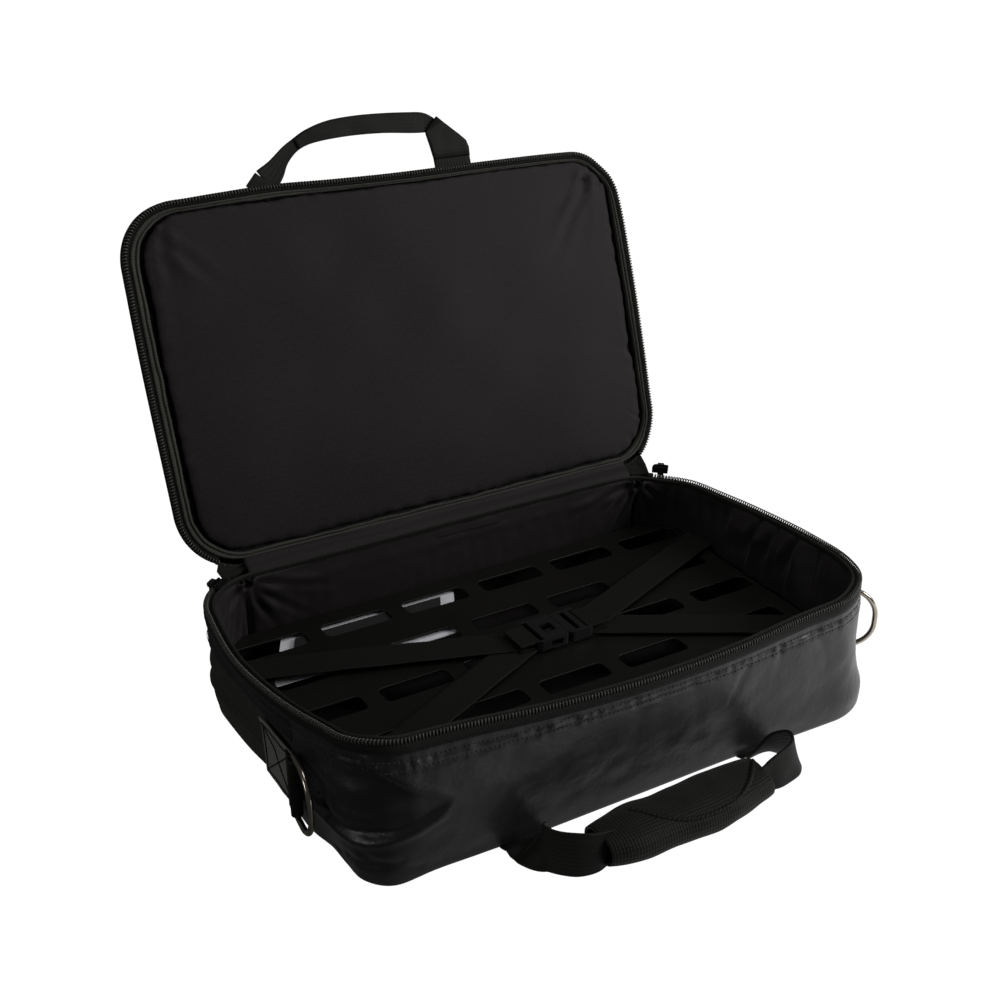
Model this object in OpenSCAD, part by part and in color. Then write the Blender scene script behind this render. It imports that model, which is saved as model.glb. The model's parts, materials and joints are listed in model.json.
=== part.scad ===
// Soft pedal case: a padded zip bag, open, with a slotted metal pedal board
// strapped inside. X runs along the front, Y from front to back, Z up.
// The origin is the middle of the bag's flat bottom. Millimetres.

/* [Bag] */
// Outside length of the bag
bag_w = 480; // [420:5:560]
// Outside depth of the bag, front to back
bag_d = 306; // [270:2:360]
// Height of the base, floor to the middle of the closed zip
base_h = 104; // [88:1:150]
// Radius of the upright corners
corner_r = 52; // [44:1:64]
// Fabric thickness
skin_t = 1; // [0.8:0.1:1.4]
// Foam in the walls
wall_foam = 6; // [4:0.5:9]
// Stiffened foam in the floor
floor_foam = 6; // [4:0.5:9]
// Lining thickness
lining_t = 1; // [0.6:0.1:1.4]
// Thickness of the closed lid above the zip
lid_t = 16; // [13:0.5:24]
// How far the lid stands open, from closed
lid_open = 110; // [95:1:125]
// Distance of the lid's fold line behind the back wall
fold_out = 1.5; // [1:0.1:3]

/* [Zip] */
// Radius of one coil of the zip
coil_r = 1.3; // [1:0.05:1.6]
// Half of the gap between the two coils when closed
coil_gap = 0.5; // [0.45:0.05:0.8]
// Width of zip tape that shows below the coil
tape_w = 11; // [8:0.5:14]
// Thickness of the zip tape
tape_t = 0.6; // [0.4:0.05:0.8]
// Where the zip ends on the back corners, from the end walls
zip_end = 60; // [45:1:66]
// Gap between a parked slider and the end of its zip
slider_rest = 3; // [1:0.5:10]
// Length of a slider
slider_l = 15; // [12:0.5:18]
// Thickness of a slider's plates
slider_t = 1.2; // [1:0.1:1.6]
// Length of a pull tab
pull_l = 27; // [20:1:34]

/* [Carrying rings] */
// Clear width of a D-ring
ring_w = 50; // [38:1:52]
// Depth of a D-ring, bar to crown, on its wire's middle line
ring_d = 36; // [30:1:44]
// Radius of the D-ring's wire
ring_wire = 2.3; // [1.8:0.1:3]
// Play between the ring's bar and its sewn loop
ring_play = 0.3; // [0.2:0.05:0.6]
// Swing of the rings from the wall, left and right
ring_swing = [6, 50]; // [0:1:90]
// Height of the bar's middle
ring_z = 44; // [40:1:56]
// Distance of the bars behind the bag's front, left and right
ring_from_front = [89, 75]; // [70:1:113]
// Length of the sewn patch behind the bar
patch_l = 60; // [40:1:70]

/* [Handles] */
// Webbing width of both handles
web_w = 36; // [30:1:40]
// Webbing thickness
web_t = 2; // [1.6:0.1:2.6]
// Half distance between the legs of the lid handle, middle to middle
lid_leg_x = 88; // [70:1:110]
// Reach of the lid handle past the lid's edge
lid_handle_reach = 48; // [40:1:70]
// How far left of the lid's middle its handle is sewn
lid_handle_left = 18; // [0:1:25]
// Half distance between the legs of the base handle
base_leg_x = 108; // [90:1:125]
// Reach of the base handle in front of the bag
base_handle_reach = 62; // [60:1:100]
// Length of the padded grip
grip_l = 150; // [120:2:165]
// Width and height of the padded grip
grip_size = [44, 26]; // [16:1:50]

/* [Pedal board] */
// Play all round between the board and the bag's lining
board_play = 7; // [4.5:0.5:16]
// Height of the board's top above the bag's bottom
board_top = 50; // [44:1:60]
// Radius of the board's corners
board_r = 24; // [20:1:40]
// Sheet thickness of the board
sheet_t = 2; // [1.5:0.1:3]
// Depth of the board's turned-down flanges
flange_h = 30; // [20:1:34]
// From the board's ends to the outer slots of the long rows
slot_edge = 5; // [4:0.5:14]
// From the board's front and back edges to the outer rows
row_edge = 18; // [10:1:26]
// Slot length and width
slot_size = [60, 20]; // [14:1:64]
// Slot corner radius
slot_r = 5; // [3:0.5:7]
// From the board's ends to the middle of the short rows' end slots
end_slot_in = 45; // [38:1:52]
// Radius of the rubber feet
foot_r = 9; // [7:0.5:11]
// Radius of the foot screws' heads
screw_head_r = 3.5; // [2.8:0.1:5]
// Radius of the foot screws' shanks
screw_r = 1.6; // [1.2:0.1:2.2]

/* [Straps] */
// Width of the tie-down webbing
strap_w = 29; // [22:1:32]
// Thickness of the tie-down webbing
strap_t = 1.4; // [1:0.1:2]
// Where the back straps are sewn to the end walls
strap_back_y = 84; // [60:1:100]
// Where the front straps are sewn to the end walls
strap_front_y = -104; // [-110:1:-80]
// Middle of the buckle
buckle_x = 8; // [-20:1:20]
// Width of the buckle
buckle_w = 36; // [32:1:44]
// Length of the buckle's socket half
socket_l = 30; // [26:1:36]
// Length of the buckle's plug half past the socket
plug_l = 24; // [20:1:30]
// Height of the buckle
buckle_h = 9; // [8:0.5:12]

/* [Spare tape] */
// Length and width of the spare pad of hook tape
pad_size = [138, 44]; // [30:1:160]
// White liner that shows round the pad
liner_edge = 12; // [4:0.5:14]
// Thickness of the hook pad
pad_t = 2.6; // [1.6:0.1:4]
// Thickness of its liner
liner_t = 0.8; // [0.4:0.1:1.2]

/* [Hidden] */
$fn = 64;

floor_z = skin_t + floor_foam + lining_t;
// Whole thickness of the walls, and where their lining stands
wall_t = skin_t + wall_foam + lining_t;
wall_in = bag_w / 2 - wall_t;
// Height where the base's walls end, just under the coil
rim_z = base_h - coil_gap - 2 * coil_r;
// The middle line of the coils, measured in from the outside
coil_in = coil_r + 0.1;
mid_x = bag_w / 2 - corner_r;
mid_y = bag_d / 2 - corner_r;
fold_y = bag_d / 2 + fold_out;
// Bead of binding on the rim, width and height
bead = [2.2, 2.2];
// Clearance between separate stiff pieces
fit = 0.4;
// Far enough to cut right through anything here
far = 1000;

// Lid pieces are drawn closed, from the zip's middle up
lid_wall_z = base_h + coil_gap + 2 * coil_r;
lid_top_z = base_h + lid_t;
// How much the lid's sides lean in towards its top
lid_lean = 6;
lid_panel_z = lid_top_z - skin_t;
lid_foam_t = 5;
lid_foam_z = lid_panel_z - lid_foam_t;
// Foam round the lid's edge: how far in it starts and how wide it is
lid_edge_in = skin_t + 5;
lid_edge_w = 4;
lid_tape_w = 5;
// The padded lining of the lid: gap round it, height of its edge and of its crown
lining_gap = 6;
lining_edge_h = 2.5;
lining_crown = 4.6;
lining_in = lid_edge_in + lid_edge_w + lining_gap;

// ---------- flat outlines ----------

// Rectangle with round corners about the origin
module round_rect(w, d, r) {
    square([w - 2 * r, d], center = true);
    square([w, d - 2 * r], center = true);
    for (sx = [-1, 1], sy = [-1, 1])
        translate([sx * (w / 2 - r), sy * (d / 2 - r)]) circle(r);
}

// The bag's outline moved in evenly
module within(inset) {
    round_rect(bag_w - 2 * inset, bag_d - 2 * inset, corner_r - inset);
}

// Band of width t just inside the bag's outline, moved in by inset
module wall_band(inset, t) {
    difference() {
        within(inset);
        within(inset + t);
    }
}

// Parts of a wall band: the front and back with their corners, and the end walls
module front_part() {
    intersection() {
        children();
        translate([-far / 2, -far - mid_y]) square(far);
    }
}

module back_part() {
    intersection() {
        children();
        translate([-far / 2, mid_y]) square(far);
    }
}

module end_part(side) {
    intersection() {
        children();
        translate([side > 0 ? 0 : -far, -mid_y]) square([far, 2 * mid_y]);
    }
}

// Foam is cut the other way: straight front and back, ends that turn the corners
module straight_part(side) {
    intersection() {
        children();
        translate([-mid_x, side > 0 ? 0 : -far]) square([2 * mid_x, far]);
    }
}

module turned_part(side) {
    intersection() {
        children();
        translate([side > 0 ? mid_x : -far - mid_x, -far / 2]) square(far);
    }
}

// Sector that keeps the zip: front, sides and the back corners up to zip_end
module zip_part() {
    difference() {
        children();
        translate([-mid_x, 0]) square([2 * mid_x, far]);
        for (s = [-1, 1])
            translate([s * mid_x, mid_y])
                polygon([[0, 0], [0, far], [-s * far, far], [-s * far, 0]]);
        for (s = [-1, 1])
            translate([s * mid_x, mid_y])
                polygon([[0, 0], [0, far], [s * far * cos(zip_end), far * sin(zip_end)]]);
    }
}

// A quarter ring of wire, or less, about the origin
module bend_bar(bend, r, turn) {
    rotate_extrude(angle = turn) translate([bend, 0]) circle(r, $fn = 24);
}

// Turns a piece that is drawn closed to where the open lid stands
module on_lid() {
    translate([0, fold_y, base_h]) rotate([-lid_open, 0, 0])
        translate([0, -fold_y, -base_h]) children();
}

// ---------- base: outside ----------

module base_bottom_panel() {
    color("#1b1b1d") linear_extrude(skin_t) within(0);
}

module base_floor_pad() {
    color("#3a3a3c") translate([0, 0, skin_t]) linear_extrude(floor_foam) within(skin_t);
}

module base_floor_lining() {
    color("#221c22") translate([0, 0, skin_t + floor_foam]) linear_extrude(lining_t)
        within(wall_t);
}

module wall_skin() {
    translate([0, 0, skin_t]) linear_extrude(rim_z - skin_t) children();
}

module base_front_panel() {
    color("#232326") wall_skin() front_part() wall_band(0, skin_t);
}

module base_back_panel() {
    color("#232326") wall_skin() back_part() wall_band(0, skin_t);
}

module base_end_panel(side) {
    color("#262622") wall_skin() end_part(side) wall_band(0, skin_t);
}

// ---------- base: padding and lining ----------

module wall_padding() {
    translate([0, 0, skin_t + floor_foam]) linear_extrude(rim_z - skin_t - floor_foam)
        children();
}

module base_long_foam(side) {
    color("#4a4a4c") wall_padding() straight_part(side) wall_band(skin_t, wall_foam);
}

module base_end_foam(side) {
    color("#4a4a4c") wall_padding() turned_part(side) wall_band(skin_t, wall_foam);
}

module base_wall_lining() {
    color("#2a242a") wall_padding() wall_band(skin_t + wall_foam, lining_t);
}

module base_rim_binding() {
    color("#2e2e28") translate([0, 0, rim_z]) linear_extrude(bead[1])
        wall_band(wall_t - bead[0], bead[0]);
}

// ---------- zip ----------

module base_zip_tape() {
    color("#2b2b24") translate([0, 0, rim_z - tape_w]) linear_extrude(tape_w)
        zip_part() wall_band(-tape_t, tape_t);
}

module base_zip_coil() {
    color("#55554c") translate([0, 0, rim_z]) coil_band();
}

// Both coils are a square bar along the zip, as high and wide as the coil
module coil_band() {
    linear_extrude(2 * coil_r) zip_part() wall_band(coil_in - coil_r, 2 * coil_r);
}

// Bar tacks that end the zip, one at each back corner
module zip_end_stops() {
    stop = [5, 5, 2 * coil_r];
    color("#2b2b24") for (s = [-1, 1])
        translate([s * mid_x, mid_y, rim_z]) rotate([0, 0, s > 0 ? zip_end : 180 - zip_end])
            translate([corner_r - coil_in - stop[0] / 2, s > 0 ? fit : -fit - stop[1], 0])
                cube(stop);
}

// Slider frame: x out from the zip, y along it, z up, origin on the base coil's path
// at the parting height
slider_gap = coil_r + tape_t + 0.1;
slider_inner = slider_gap + 0.9;
slider_half_h = coil_gap + 2 * coil_r - 0.2;
// Bail that carries the pull: half its length, its reach and its pin's radius
bail_half = 4;
bail_arm = [1.5, 2.8];
bail_out = 3.4;
bail_pin_r = 1.4;
slider_at = zip_end - atan((slider_l / 2 + slider_rest) / (corner_r - coil_in));

module slider_body() {
    nose = 2.4;
    neck = [slider_inner + slider_gap, 4.5, 2 * coil_gap - 0.3];
    // outer plate with its chamfered nose
    difference() {
        translate([slider_gap, -slider_l / 2, -slider_half_h])
            cube([slider_t, slider_l, 2 * slider_half_h]);
        for (s = [-1, 1]) translate([slider_gap, slider_l / 2, s * slider_half_h])
            rotate([45, 0, 0]) cube([4 * slider_t, nose, nose], center = true);
    }
    // inner plate
    translate([-slider_inner - slider_t, -slider_l / 2, -slider_half_h])
        cube([slider_t, slider_l, 2 * slider_half_h]);
    // neck between the coils
    translate([-slider_inner - 0.2, -slider_l / 2, -neck[2] / 2])
        cube([neck[0] + 0.4, neck[1], neck[2]]);
    // bail, with a round pin along the slider
    for (s = [-1, 1])
        translate([slider_gap + slider_t, s * bail_half - bail_arm[0] / 2, -bail_arm[1] / 2])
            cube([bail_out, bail_arm[0], bail_arm[1]]);
    translate([slider_gap + slider_t + bail_out, -bail_half - bail_arm[0] / 2, 0])
        rotate([-90, 0, 0]) cylinder(r = bail_pin_r, h = 2 * bail_half + bail_arm[0]);
}

module place_slider(side) {
    turn = side > 0 ? slider_at : 180 - slider_at;
    translate([side * mid_x, mid_y, base_h]) rotate([0, 0, turn])
        translate([corner_r - coil_in, 0, 0]) mirror([0, side > 0 ? 0 : 1, 0]) children();
}

module zip_slider(side) {
    color("#8c8c90") place_slider(side) slider_body();
}

// The pull hangs straight down from the bail's pin
module zip_pull(side) {
    eye = bail_pin_r + 0.25;
    rim = 1.1;
    half = bail_half - bail_arm[0] / 2 - 0.3;
    tab_t = 2;
    hole = [1.6, 6];
    color("#77777c") place_slider(side)
        translate([slider_gap + slider_t + bail_out, 0, 0])
            difference() {
                union() {
                    translate([-tab_t / 2, -half, -pull_l]) cube([tab_t, 2 * half, pull_l]);
                    rotate([-90, 0, 0]) translate([0, 0, -half])
                        cylinder(r = eye + rim, h = 2 * half);
                }
                rotate([-90, 0, 0]) translate([0, 0, -half - 1])
                    cylinder(r = eye, h = 2 * half + 2);
                translate([0, 0, hole[1] - pull_l]) rotate([0, 90, 0])
                    cylinder(r = hole[0], h = 3 * tab_t, center = true);
            }
}

// ---------- D-rings ----------

ring_bar_x = bag_w / 2 + tape_t + web_t + ring_wire + ring_play;
function ring_y(side) = bag_d / 2 - ring_from_front[side > 0 ? 1 : 0];
// Radius of the two round corners of a D-ring
ring_bend = 24;

// Ring frame: bar along z at the origin, crown towards +x
module d_ring() {
    half = ring_w / 2 + ring_wire;
    translate([0, 0, ring_wire - half]) cylinder(r = ring_wire, h = 2 * half - 2 * ring_wire);
    for (s = [-1, 1]) translate([0, 0, s * half]) mirror([0, 0, s > 0 ? 0 : 1])
        bar_corner();
    for (s = [-1, 1]) translate([ring_wire, 0, s * half]) rotate([0, 90, 0])
        cylinder(r = ring_wire, h = ring_d - ring_bend - ring_wire);
    for (s = [-1, 1]) translate([ring_d - ring_bend, 0, s * (half - ring_bend)])
        rotate([90, 0, 0]) rotate([0, 0, s > 0 ? 0 : -90]) bend_bar(ring_bend, ring_wire, 90);
    translate([ring_d, 0, ring_bend - half]) cylinder(r = ring_wire, h = 2 * (half - ring_bend));
}

// Tight corner where the bar meets a leg, drawn for the top end
module bar_corner() {
    translate([ring_wire, 0, -ring_wire]) rotate([90, 0, 0]) rotate([0, 0, 90])
        bend_bar(ring_wire, ring_wire * 0.999, 90);
}

module carry_ring(side) {
    swing = ring_swing[side > 0 ? 1 : 0];
    color("#b9b9b6") translate([side * ring_bar_x, -ring_y(side), ring_z])
        rotate([0, 0, side > 0 ? swing - 90 : -90 - swing]) d_ring();
}

// Sewn tab: a doubled strip along the wall that loops round the bar
module ring_tab(side) {
    high = ring_w - 2 * fit;
    loop_r = ring_wire + ring_play;
    strip_t = 2 * web_t;
    color("#4b4b49") mirror([side > 0 ? 0 : 1, 0, 0])
        translate([bag_w / 2, -ring_y(side), ring_z - high / 2]) linear_extrude(high)
            difference() {
                union() {
                    square([strip_t, patch_l]);
                    square([ring_bar_x - bag_w / 2, loop_r + web_t]);
                    translate([ring_bar_x - bag_w / 2, 0]) circle(loop_r + web_t);
                }
                translate([ring_bar_x - bag_w / 2, 0]) circle(loop_r);
                translate([-far, -far / 2]) square([far, far]);
            }
}

// ---------- base handle, lying on the ground in front ----------

base_pin_y = -bag_d / 2 - 5;
base_pin_z = 3.2;
base_pin_r = 1.2;
// Width of a loop's sewn sides
loop_side = 3;
// Inner radius of the webbing's corners
inner_bend = 8;

// Loops that the handle's legs turn in, sewn into the bottom front seam
module base_handle_anchors() {
    color("#2c2c26") for (s = [-1, 1]) translate([s * base_leg_x, 0, 0]) {
        translate([-web_w / 2, base_pin_y, base_pin_z])
            rotate([0, 90, 0]) cylinder(r = base_pin_r, h = web_w);
        for (e = [0, 1])
            translate([e * (web_w - loop_side) - web_w / 2, base_pin_y, base_pin_z - base_pin_r])
                cube([loop_side, -base_pin_y - bag_d / 2, 2 * base_pin_r]);
    }
}

// Handle frame: pin at the origin, legs towards -y, webbing's middle at z = 0;
// the handle slopes up from its pin so that the grip's lowest point clears the ground
grip_far = base_handle_reach - web_w / 2;
grip_round = grip_size[1] / 2;
ground_gap = 0.2;
handle_slope = asin((grip_round + ground_gap - base_pin_z)
                    / (grip_far - grip_size[0] / 2 + grip_round));

module on_base_handle() {
    translate([0, base_pin_y, base_pin_z]) rotate([-handle_slope, 0, 0]) children();
}

// One continuous webbing strip: legs forward, then across in front
module base_handle_webbing() {
    eye = base_pin_r + 0.3;
    rim = 1.2;
    half = web_w / 2 - loop_side - fit;
    neck = 15;
    color("#24241f") on_base_handle() difference() {
        union() {
            for (s = [-1, 1]) translate([s * base_leg_x - half, 0, 0]) {
                rotate([0, 90, 0]) cylinder(r = eye + rim, h = 2 * half);
                translate([0, -neck - 1, -web_t / 2]) cube([2 * half, neck + 1, web_t]);
            }
            translate([0, -neck, -web_t / 2]) linear_extrude(web_t)
                handle_plan(base_handle_reach - neck);
        }
        translate([-far / 2, 0, 0]) rotate([0, 90, 0]) cylinder(r = eye, h = far);
    }
}

// Flat U of webbing seen from above, its open side at y = 0
module handle_plan(deep) {
    outer_x = base_leg_x + web_w / 2;
    bend = web_w + inner_bend;
    difference() {
        union() {
            translate([-outer_x, bend - deep]) square([2 * outer_x, deep - bend]);
            translate([bend - outer_x, -deep]) square([2 * (outer_x - bend), deep]);
            for (s = [-1, 1]) translate([s * (outer_x - bend), bend - deep]) circle(bend);
        }
        translate([web_w - outer_x, web_w - deep]) square([2 * (outer_x - web_w), far]);
        translate([-far / 2, 0]) square(far);
    }
}

// Outline of the padded grip across the handle, shrunk evenly
wrap_t = 2;
module grip_outline(shrink) {
    wide = grip_size[0] - 2 * shrink;
    high = grip_size[1] - 2 * shrink;
    round_rect(wide, high, high / 2 - 0.01);
}

module along_grip(long) {
    on_base_handle() translate([-long / 2, -grip_far, 0]) rotate([90, 0, 90])
        linear_extrude(long) children();
}

// Padding round the webbing
module base_handle_grip() {
    color("#1f1f1c") along_grip(grip_l) difference() {
        grip_outline(wrap_t);
        square([web_w, web_t], center = true);
    }
}

// Wrap that closes round the grip with hook tape
module grip_wrap() {
    bare_end = 8;
    color("#181816") along_grip(grip_l - 2 * bare_end) difference() {
        grip_outline(0);
        grip_outline(wrap_t);
    }
}

// ---------- lid ----------

// Solid with sides that lean in, from z0 up to z1
module lid_form(inset, z0, z1) {
    half_way = lid_lean / 8;
    thin = 0.01;
    hull() {
        translate([0, 0, z0]) linear_extrude(thin) within(inset);
        translate([0, 0, (z0 + z1) / 2]) linear_extrude(thin) within(inset + half_way);
        translate([0, 0, z1 - thin]) linear_extrude(thin) within(inset + lid_lean);
    }
}

module lid_top_panel() {
    color("#232326") on_lid() difference() {
        lid_form(0, lid_wall_z, lid_top_z, $fn = 32);
        lid_form(skin_t, lid_wall_z - 0.1, lid_panel_z, $fn = 32);
    }
}

module lid_edge_foam() {
    color("#4a4a4c") on_lid() translate([0, 0, lid_wall_z])
        linear_extrude(lid_foam_z - lid_wall_z) wall_band(lid_edge_in, lid_edge_w);
}

module lid_top_foam() {
    color("#4a4a4c") on_lid() translate([0, 0, lid_foam_z]) linear_extrude(lid_foam_t)
        within(skin_t + lid_lean + 1);
}

// Ring of points of a rounded rectangle, steps_c to each corner
steps_c = 9;
function ring_points(w, d, r, z) = [
    for (k = [0 : 3], i = [0 : steps_c])
        let (a = 90 * k + 90 * i / steps_c,
             cx = (k == 0 || k == 3 ? 1 : -1) * (w / 2 - r),
             cy = (k < 2 ? 1 : -1) * (d / 2 - r))
        [cx + r * cos(a), cy + r * sin(a), z]
];

// Lofts a closed solid through rings of equal length
module loft(rings) {
    n = len(rings[0]);
    m = len(rings);
    points = [for (r = rings) each r];
    sides = [for (j = [0 : m - 2], i = [0 : n - 1])
        let (a = j * n + i, b = j * n + (i + 1) % n) each [[a, a + n, b + n], [a, b + n, b]]];
    bottom = [for (i = [1 : n - 2]) [0, i, i + 1]];
    top = [for (i = [1 : n - 2]) [(m - 1) * n, (m - 1) * n + i + 1, (m - 1) * n + i]];
    polyhedron([for (p = points) p], concat(sides, bottom, top));
}

// Padded lining panel: crowned towards the inside, drawn in at its seam
module lid_lining() {
    w = bag_w - 2 * lining_in;
    d = bag_d - 2 * lining_in;
    least_r = 6;
    color("#2b262b") on_lid() mirror([0, 0, 1]) translate([0, 0, -lid_foam_z])
        loft([for (s = crown_steps)
            ring_points(w - 2 * s[0], d - 2 * s[0], max(corner_r - lining_in - s[0], least_r),
                        lining_edge_h * s[1] + lining_crown * s[2])]);
}

// In from the seam, share of the edge height, share of the crown
crown_steps = [
    [0, 0, 0], [-2.5, 0.5, 0], [-3, 1, 0], [-2, 1, 0.22], [1, 1, 0.45],
    [6, 1, 0.68], [14, 1, 0.84], [28, 1, 0.94], [56, 1, 1]
];

module lid_rim_binding() {
    color("#2e2e28") on_lid() translate([0, 0, lid_wall_z - bead[1]])
        linear_extrude(bead[1]) wall_band(lid_edge_in + 1, bead[0]);
}

module lid_zip_tape() {
    color("#2b2b24") on_lid() translate([0, 0, lid_wall_z]) linear_extrude(lid_tape_w)
        zip_part() wall_band(-tape_t, tape_t);
}

module lid_zip_coil() {
    color("#55554c") on_lid() translate([0, 0, lid_wall_z - 2 * coil_r]) coil_band();
}

// ---------- lid handle ----------

lid_pin_r = 1;
lid_pin_y = -bag_d / 2 - 2.4 - lid_pin_r;
// Just over the lid's zip tape
lid_pin_z = lid_wall_z + lid_tape_w + lid_pin_r + 0.1;
lid_loop_side = 2.4;
// How far in from the legs the middle is folded
fold_in = 22;

module lid_handle_anchors() {
    to_skin = 0.5;
    color("#2c2c26") on_lid() for (s = [-1, 1]) translate([s * lid_leg_x - lid_handle_left, 0, 0]) {
        translate([-web_w / 2, lid_pin_y, lid_pin_z]) rotate([0, 90, 0])
            cylinder(r = lid_pin_r, h = web_w);
        for (e = [0, 1])
            translate([e * (web_w - lid_loop_side) - web_w / 2, lid_pin_y, lid_pin_z - lid_pin_r])
                cube([lid_loop_side, -lid_pin_y - bag_d / 2 + to_skin, 2 * lid_pin_r]);
    }
}

// Handle: two flat legs, and a middle folded in half lengthwise
lid_fold_w = web_w / 2 + 1;
module lid_handle() {
    eye = lid_pin_r + 0.3;
    rim = 1.1;
    half = web_w / 2 - lid_loop_side - fit;
    reach = lid_handle_reach - 4;
    fold_l = 2 * (lid_leg_x - fold_in);
    color("#24241f") on_lid() translate([-lid_handle_left, lid_pin_y, lid_pin_z]) difference() {
        union() {
            for (s = [-1, 1]) translate([s * lid_leg_x - half, 0, 0]) rotate([0, 90, 0])
                cylinder(r = eye + rim, h = 2 * half);
            translate([0, 0, -web_t / 2]) linear_extrude(web_t) leg_plan(half, reach);
            translate([-fold_l / 2, -reach, -web_t]) cube([fold_l, lid_fold_w, 2 * web_t]);
        }
        translate([-far / 4, 0, 0]) rotate([0, 90, 0]) cylinder(r = eye, h = far / 2);
    }
}

// Legs that lean in towards the folded middle
module leg_plan(half, reach) {
    lean_in = 7;
    cut = 8;
    inner_x = lid_leg_x - fold_in - 4;
    for (s = [-1, 1]) polygon([
        [s * (lid_leg_x - half), 0], [s * (lid_leg_x + half), 0],
        [s * (lid_leg_x + half - lean_in), lid_fold_w + 4 - reach],
        [s * (lid_leg_x - cut / 2), cut / 2 - reach], [s * (lid_leg_x - 1.5 * cut), -reach],
        [s * inner_x, -reach], [s * inner_x, lid_fold_w - reach],
        [s * (lid_leg_x - half - 2), lid_fold_w - reach]
    ]);
}

// ---------- fabric fold between base and lid ----------

strip_gap = 0.05;
strip_h = 24;
module hinge_strip() {
    sewn_up = base_h - rim_z;
    color("#262228") translate([-mid_x, bag_d / 2, base_h]) rotate([90, 0, 90])
        linear_extrude(2 * mid_x) polygon([
            [strip_gap, -strip_h], [skin_t, -strip_h], [skin_t, -sewn_up - 2],
            [skin_t + sewn_up, -2], [skin_t + sewn_up - 0.6, -skin_t], [strip_gap, -sewn_up - 0.7]
        ]);
}

// ---------- pedal board ----------

board_w = 2 * (wall_in - board_play);
board_d = bag_d - 2 * wall_t - 2 * board_play;
slot_pitch = (board_w - 2 * slot_edge - slot_size[0]) / 5;
row_pitch = (board_d - 2 * row_edge - slot_size[1]) / 4;
end_slot_x = board_w / 2 - end_slot_in;
sheet_z = board_top - sheet_t;
// The feet stand between the slots of the short rows
foot_x = (slot_pitch + end_slot_x) / 2;
foot_y = row_pitch * 0.8;

function slots_of(k) = (k % 2 == 0)
    ? [for (i = [-2.5 : 1 : 2.5]) i * slot_pitch]
    : [-end_slot_x, -slot_pitch, 0, slot_pitch, end_slot_x];

module at_feet() {
    for (sx = [-1, 1], sy = [-1, 1]) translate([sx * foot_x, sy * foot_y, 0]) children();
}

// Flat top sheet with its rows of slots
module board_plate() {
    color("#1d1d1b") difference() {
        translate([0, 0, sheet_z]) linear_extrude(sheet_t) round_rect(board_w, board_d, board_r);
        for (k = [-2 : 2]) for (x = slots_of(k))
            translate([x, k * row_pitch, sheet_z - 1]) linear_extrude(sheet_t + 2)
                round_rect(slot_size[0], slot_size[1], slot_r);
        at_feet() screw_head();
    }
}

// Countersunk head, flush with the top of the sheet
module screw_head() {
    translate([0, 0, sheet_z]) cylinder(r1 = screw_r, r2 = screw_head_r, h = sheet_t);
}

// Edge that is turned down all round the sheet
module board_edge() {
    color("#1d1d1b") translate([0, 0, board_top - flange_h]) linear_extrude(flange_h - sheet_t)
        difference() {
            round_rect(board_w, board_d, board_r);
            round_rect(board_w - 2 * sheet_t, board_d - 2 * sheet_t, board_r - sheet_t);
        }
}

screw_l = 14;
// Rubber legs between the bag's floor and the sheet
module board_feet() {
    base_rim = [3, 4];
    color("#191919") at_feet() difference() {
        union() {
            translate([0, 0, floor_z]) cylinder(r = foot_r, h = sheet_z - floor_z);
            translate([0, 0, floor_z]) cylinder(r = foot_r + base_rim[0], h = base_rim[1]);
        }
        translate([0, 0, sheet_z - screw_l]) cylinder(r = screw_r, h = screw_l + 1);
    }
}

module board_screws() {
    color("#3c3c3c") at_feet() {
        screw_head();
        translate([0, 0, sheet_z - screw_l]) cylinder(r = screw_r, h = screw_l);
    }
}

// ---------- spare hook tape under the board ----------

// How far the pad's ends lean, and its gaps from the flanges
pad_slant = 27;
pad_gap = [13, 8];
liner_d = pad_size[1] / 2 + liner_edge;
pad_x = -board_w / 2 + sheet_t + pad_gap[0] + pad_size[0] / 2
    + liner_edge / cos(pad_slant) + liner_d * tan(pad_slant);
pad_y = board_d / 2 - sheet_t - pad_gap[1] - liner_d;

module slanted(edge) {
    half_w = pad_size[0] / 2 + edge / cos(pad_slant);
    half_d = pad_size[1] / 2 + edge;
    lean = half_d * tan(pad_slant);
    polygon([
        [-half_w - lean, -half_d], [half_w - lean, -half_d],
        [half_w + lean, half_d], [lean - half_w, half_d]
    ]);
}

module spare_hook_pad() {
    color("#151515") translate([pad_x, pad_y, sheet_z - pad_t]) linear_extrude(pad_t)
        slanted(0);
}

module spare_pad_liner() {
    color("#e9e9ec") translate([pad_x, pad_y, sheet_z - pad_t - liner_t])
        linear_extrude(liner_t) slanted(liner_edge);
}

// ---------- tie-down straps and buckle ----------

// Sewn tabs on the end walls: thickness, extra width, height, drop below the straps
anchor_tab = [3, 2, 26, 5];
// Gap between the board and the straps, enough for a 2 mm plate
strap_gap = 2.2;
strap_z = board_top + strap_gap;
back_strap_z = strap_z + strap_t + 0.1;
buckle_y = 6;
buckle_z = strap_z + 0.4;
socket_x = buckle_x - socket_l / 2;
plug_x = buckle_x + socket_l / 2;
// Round bar that carries the webbing loop, and the notch round it
bar_r = 1.5;
bar_in = 2.2;
notch = 6.6;
bar_z = buckle_z + buckle_h / 2;
loop_play = 0.2;
loop_t = back_strap_z + strap_t + loop_play;
loop_l = 18;

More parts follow.
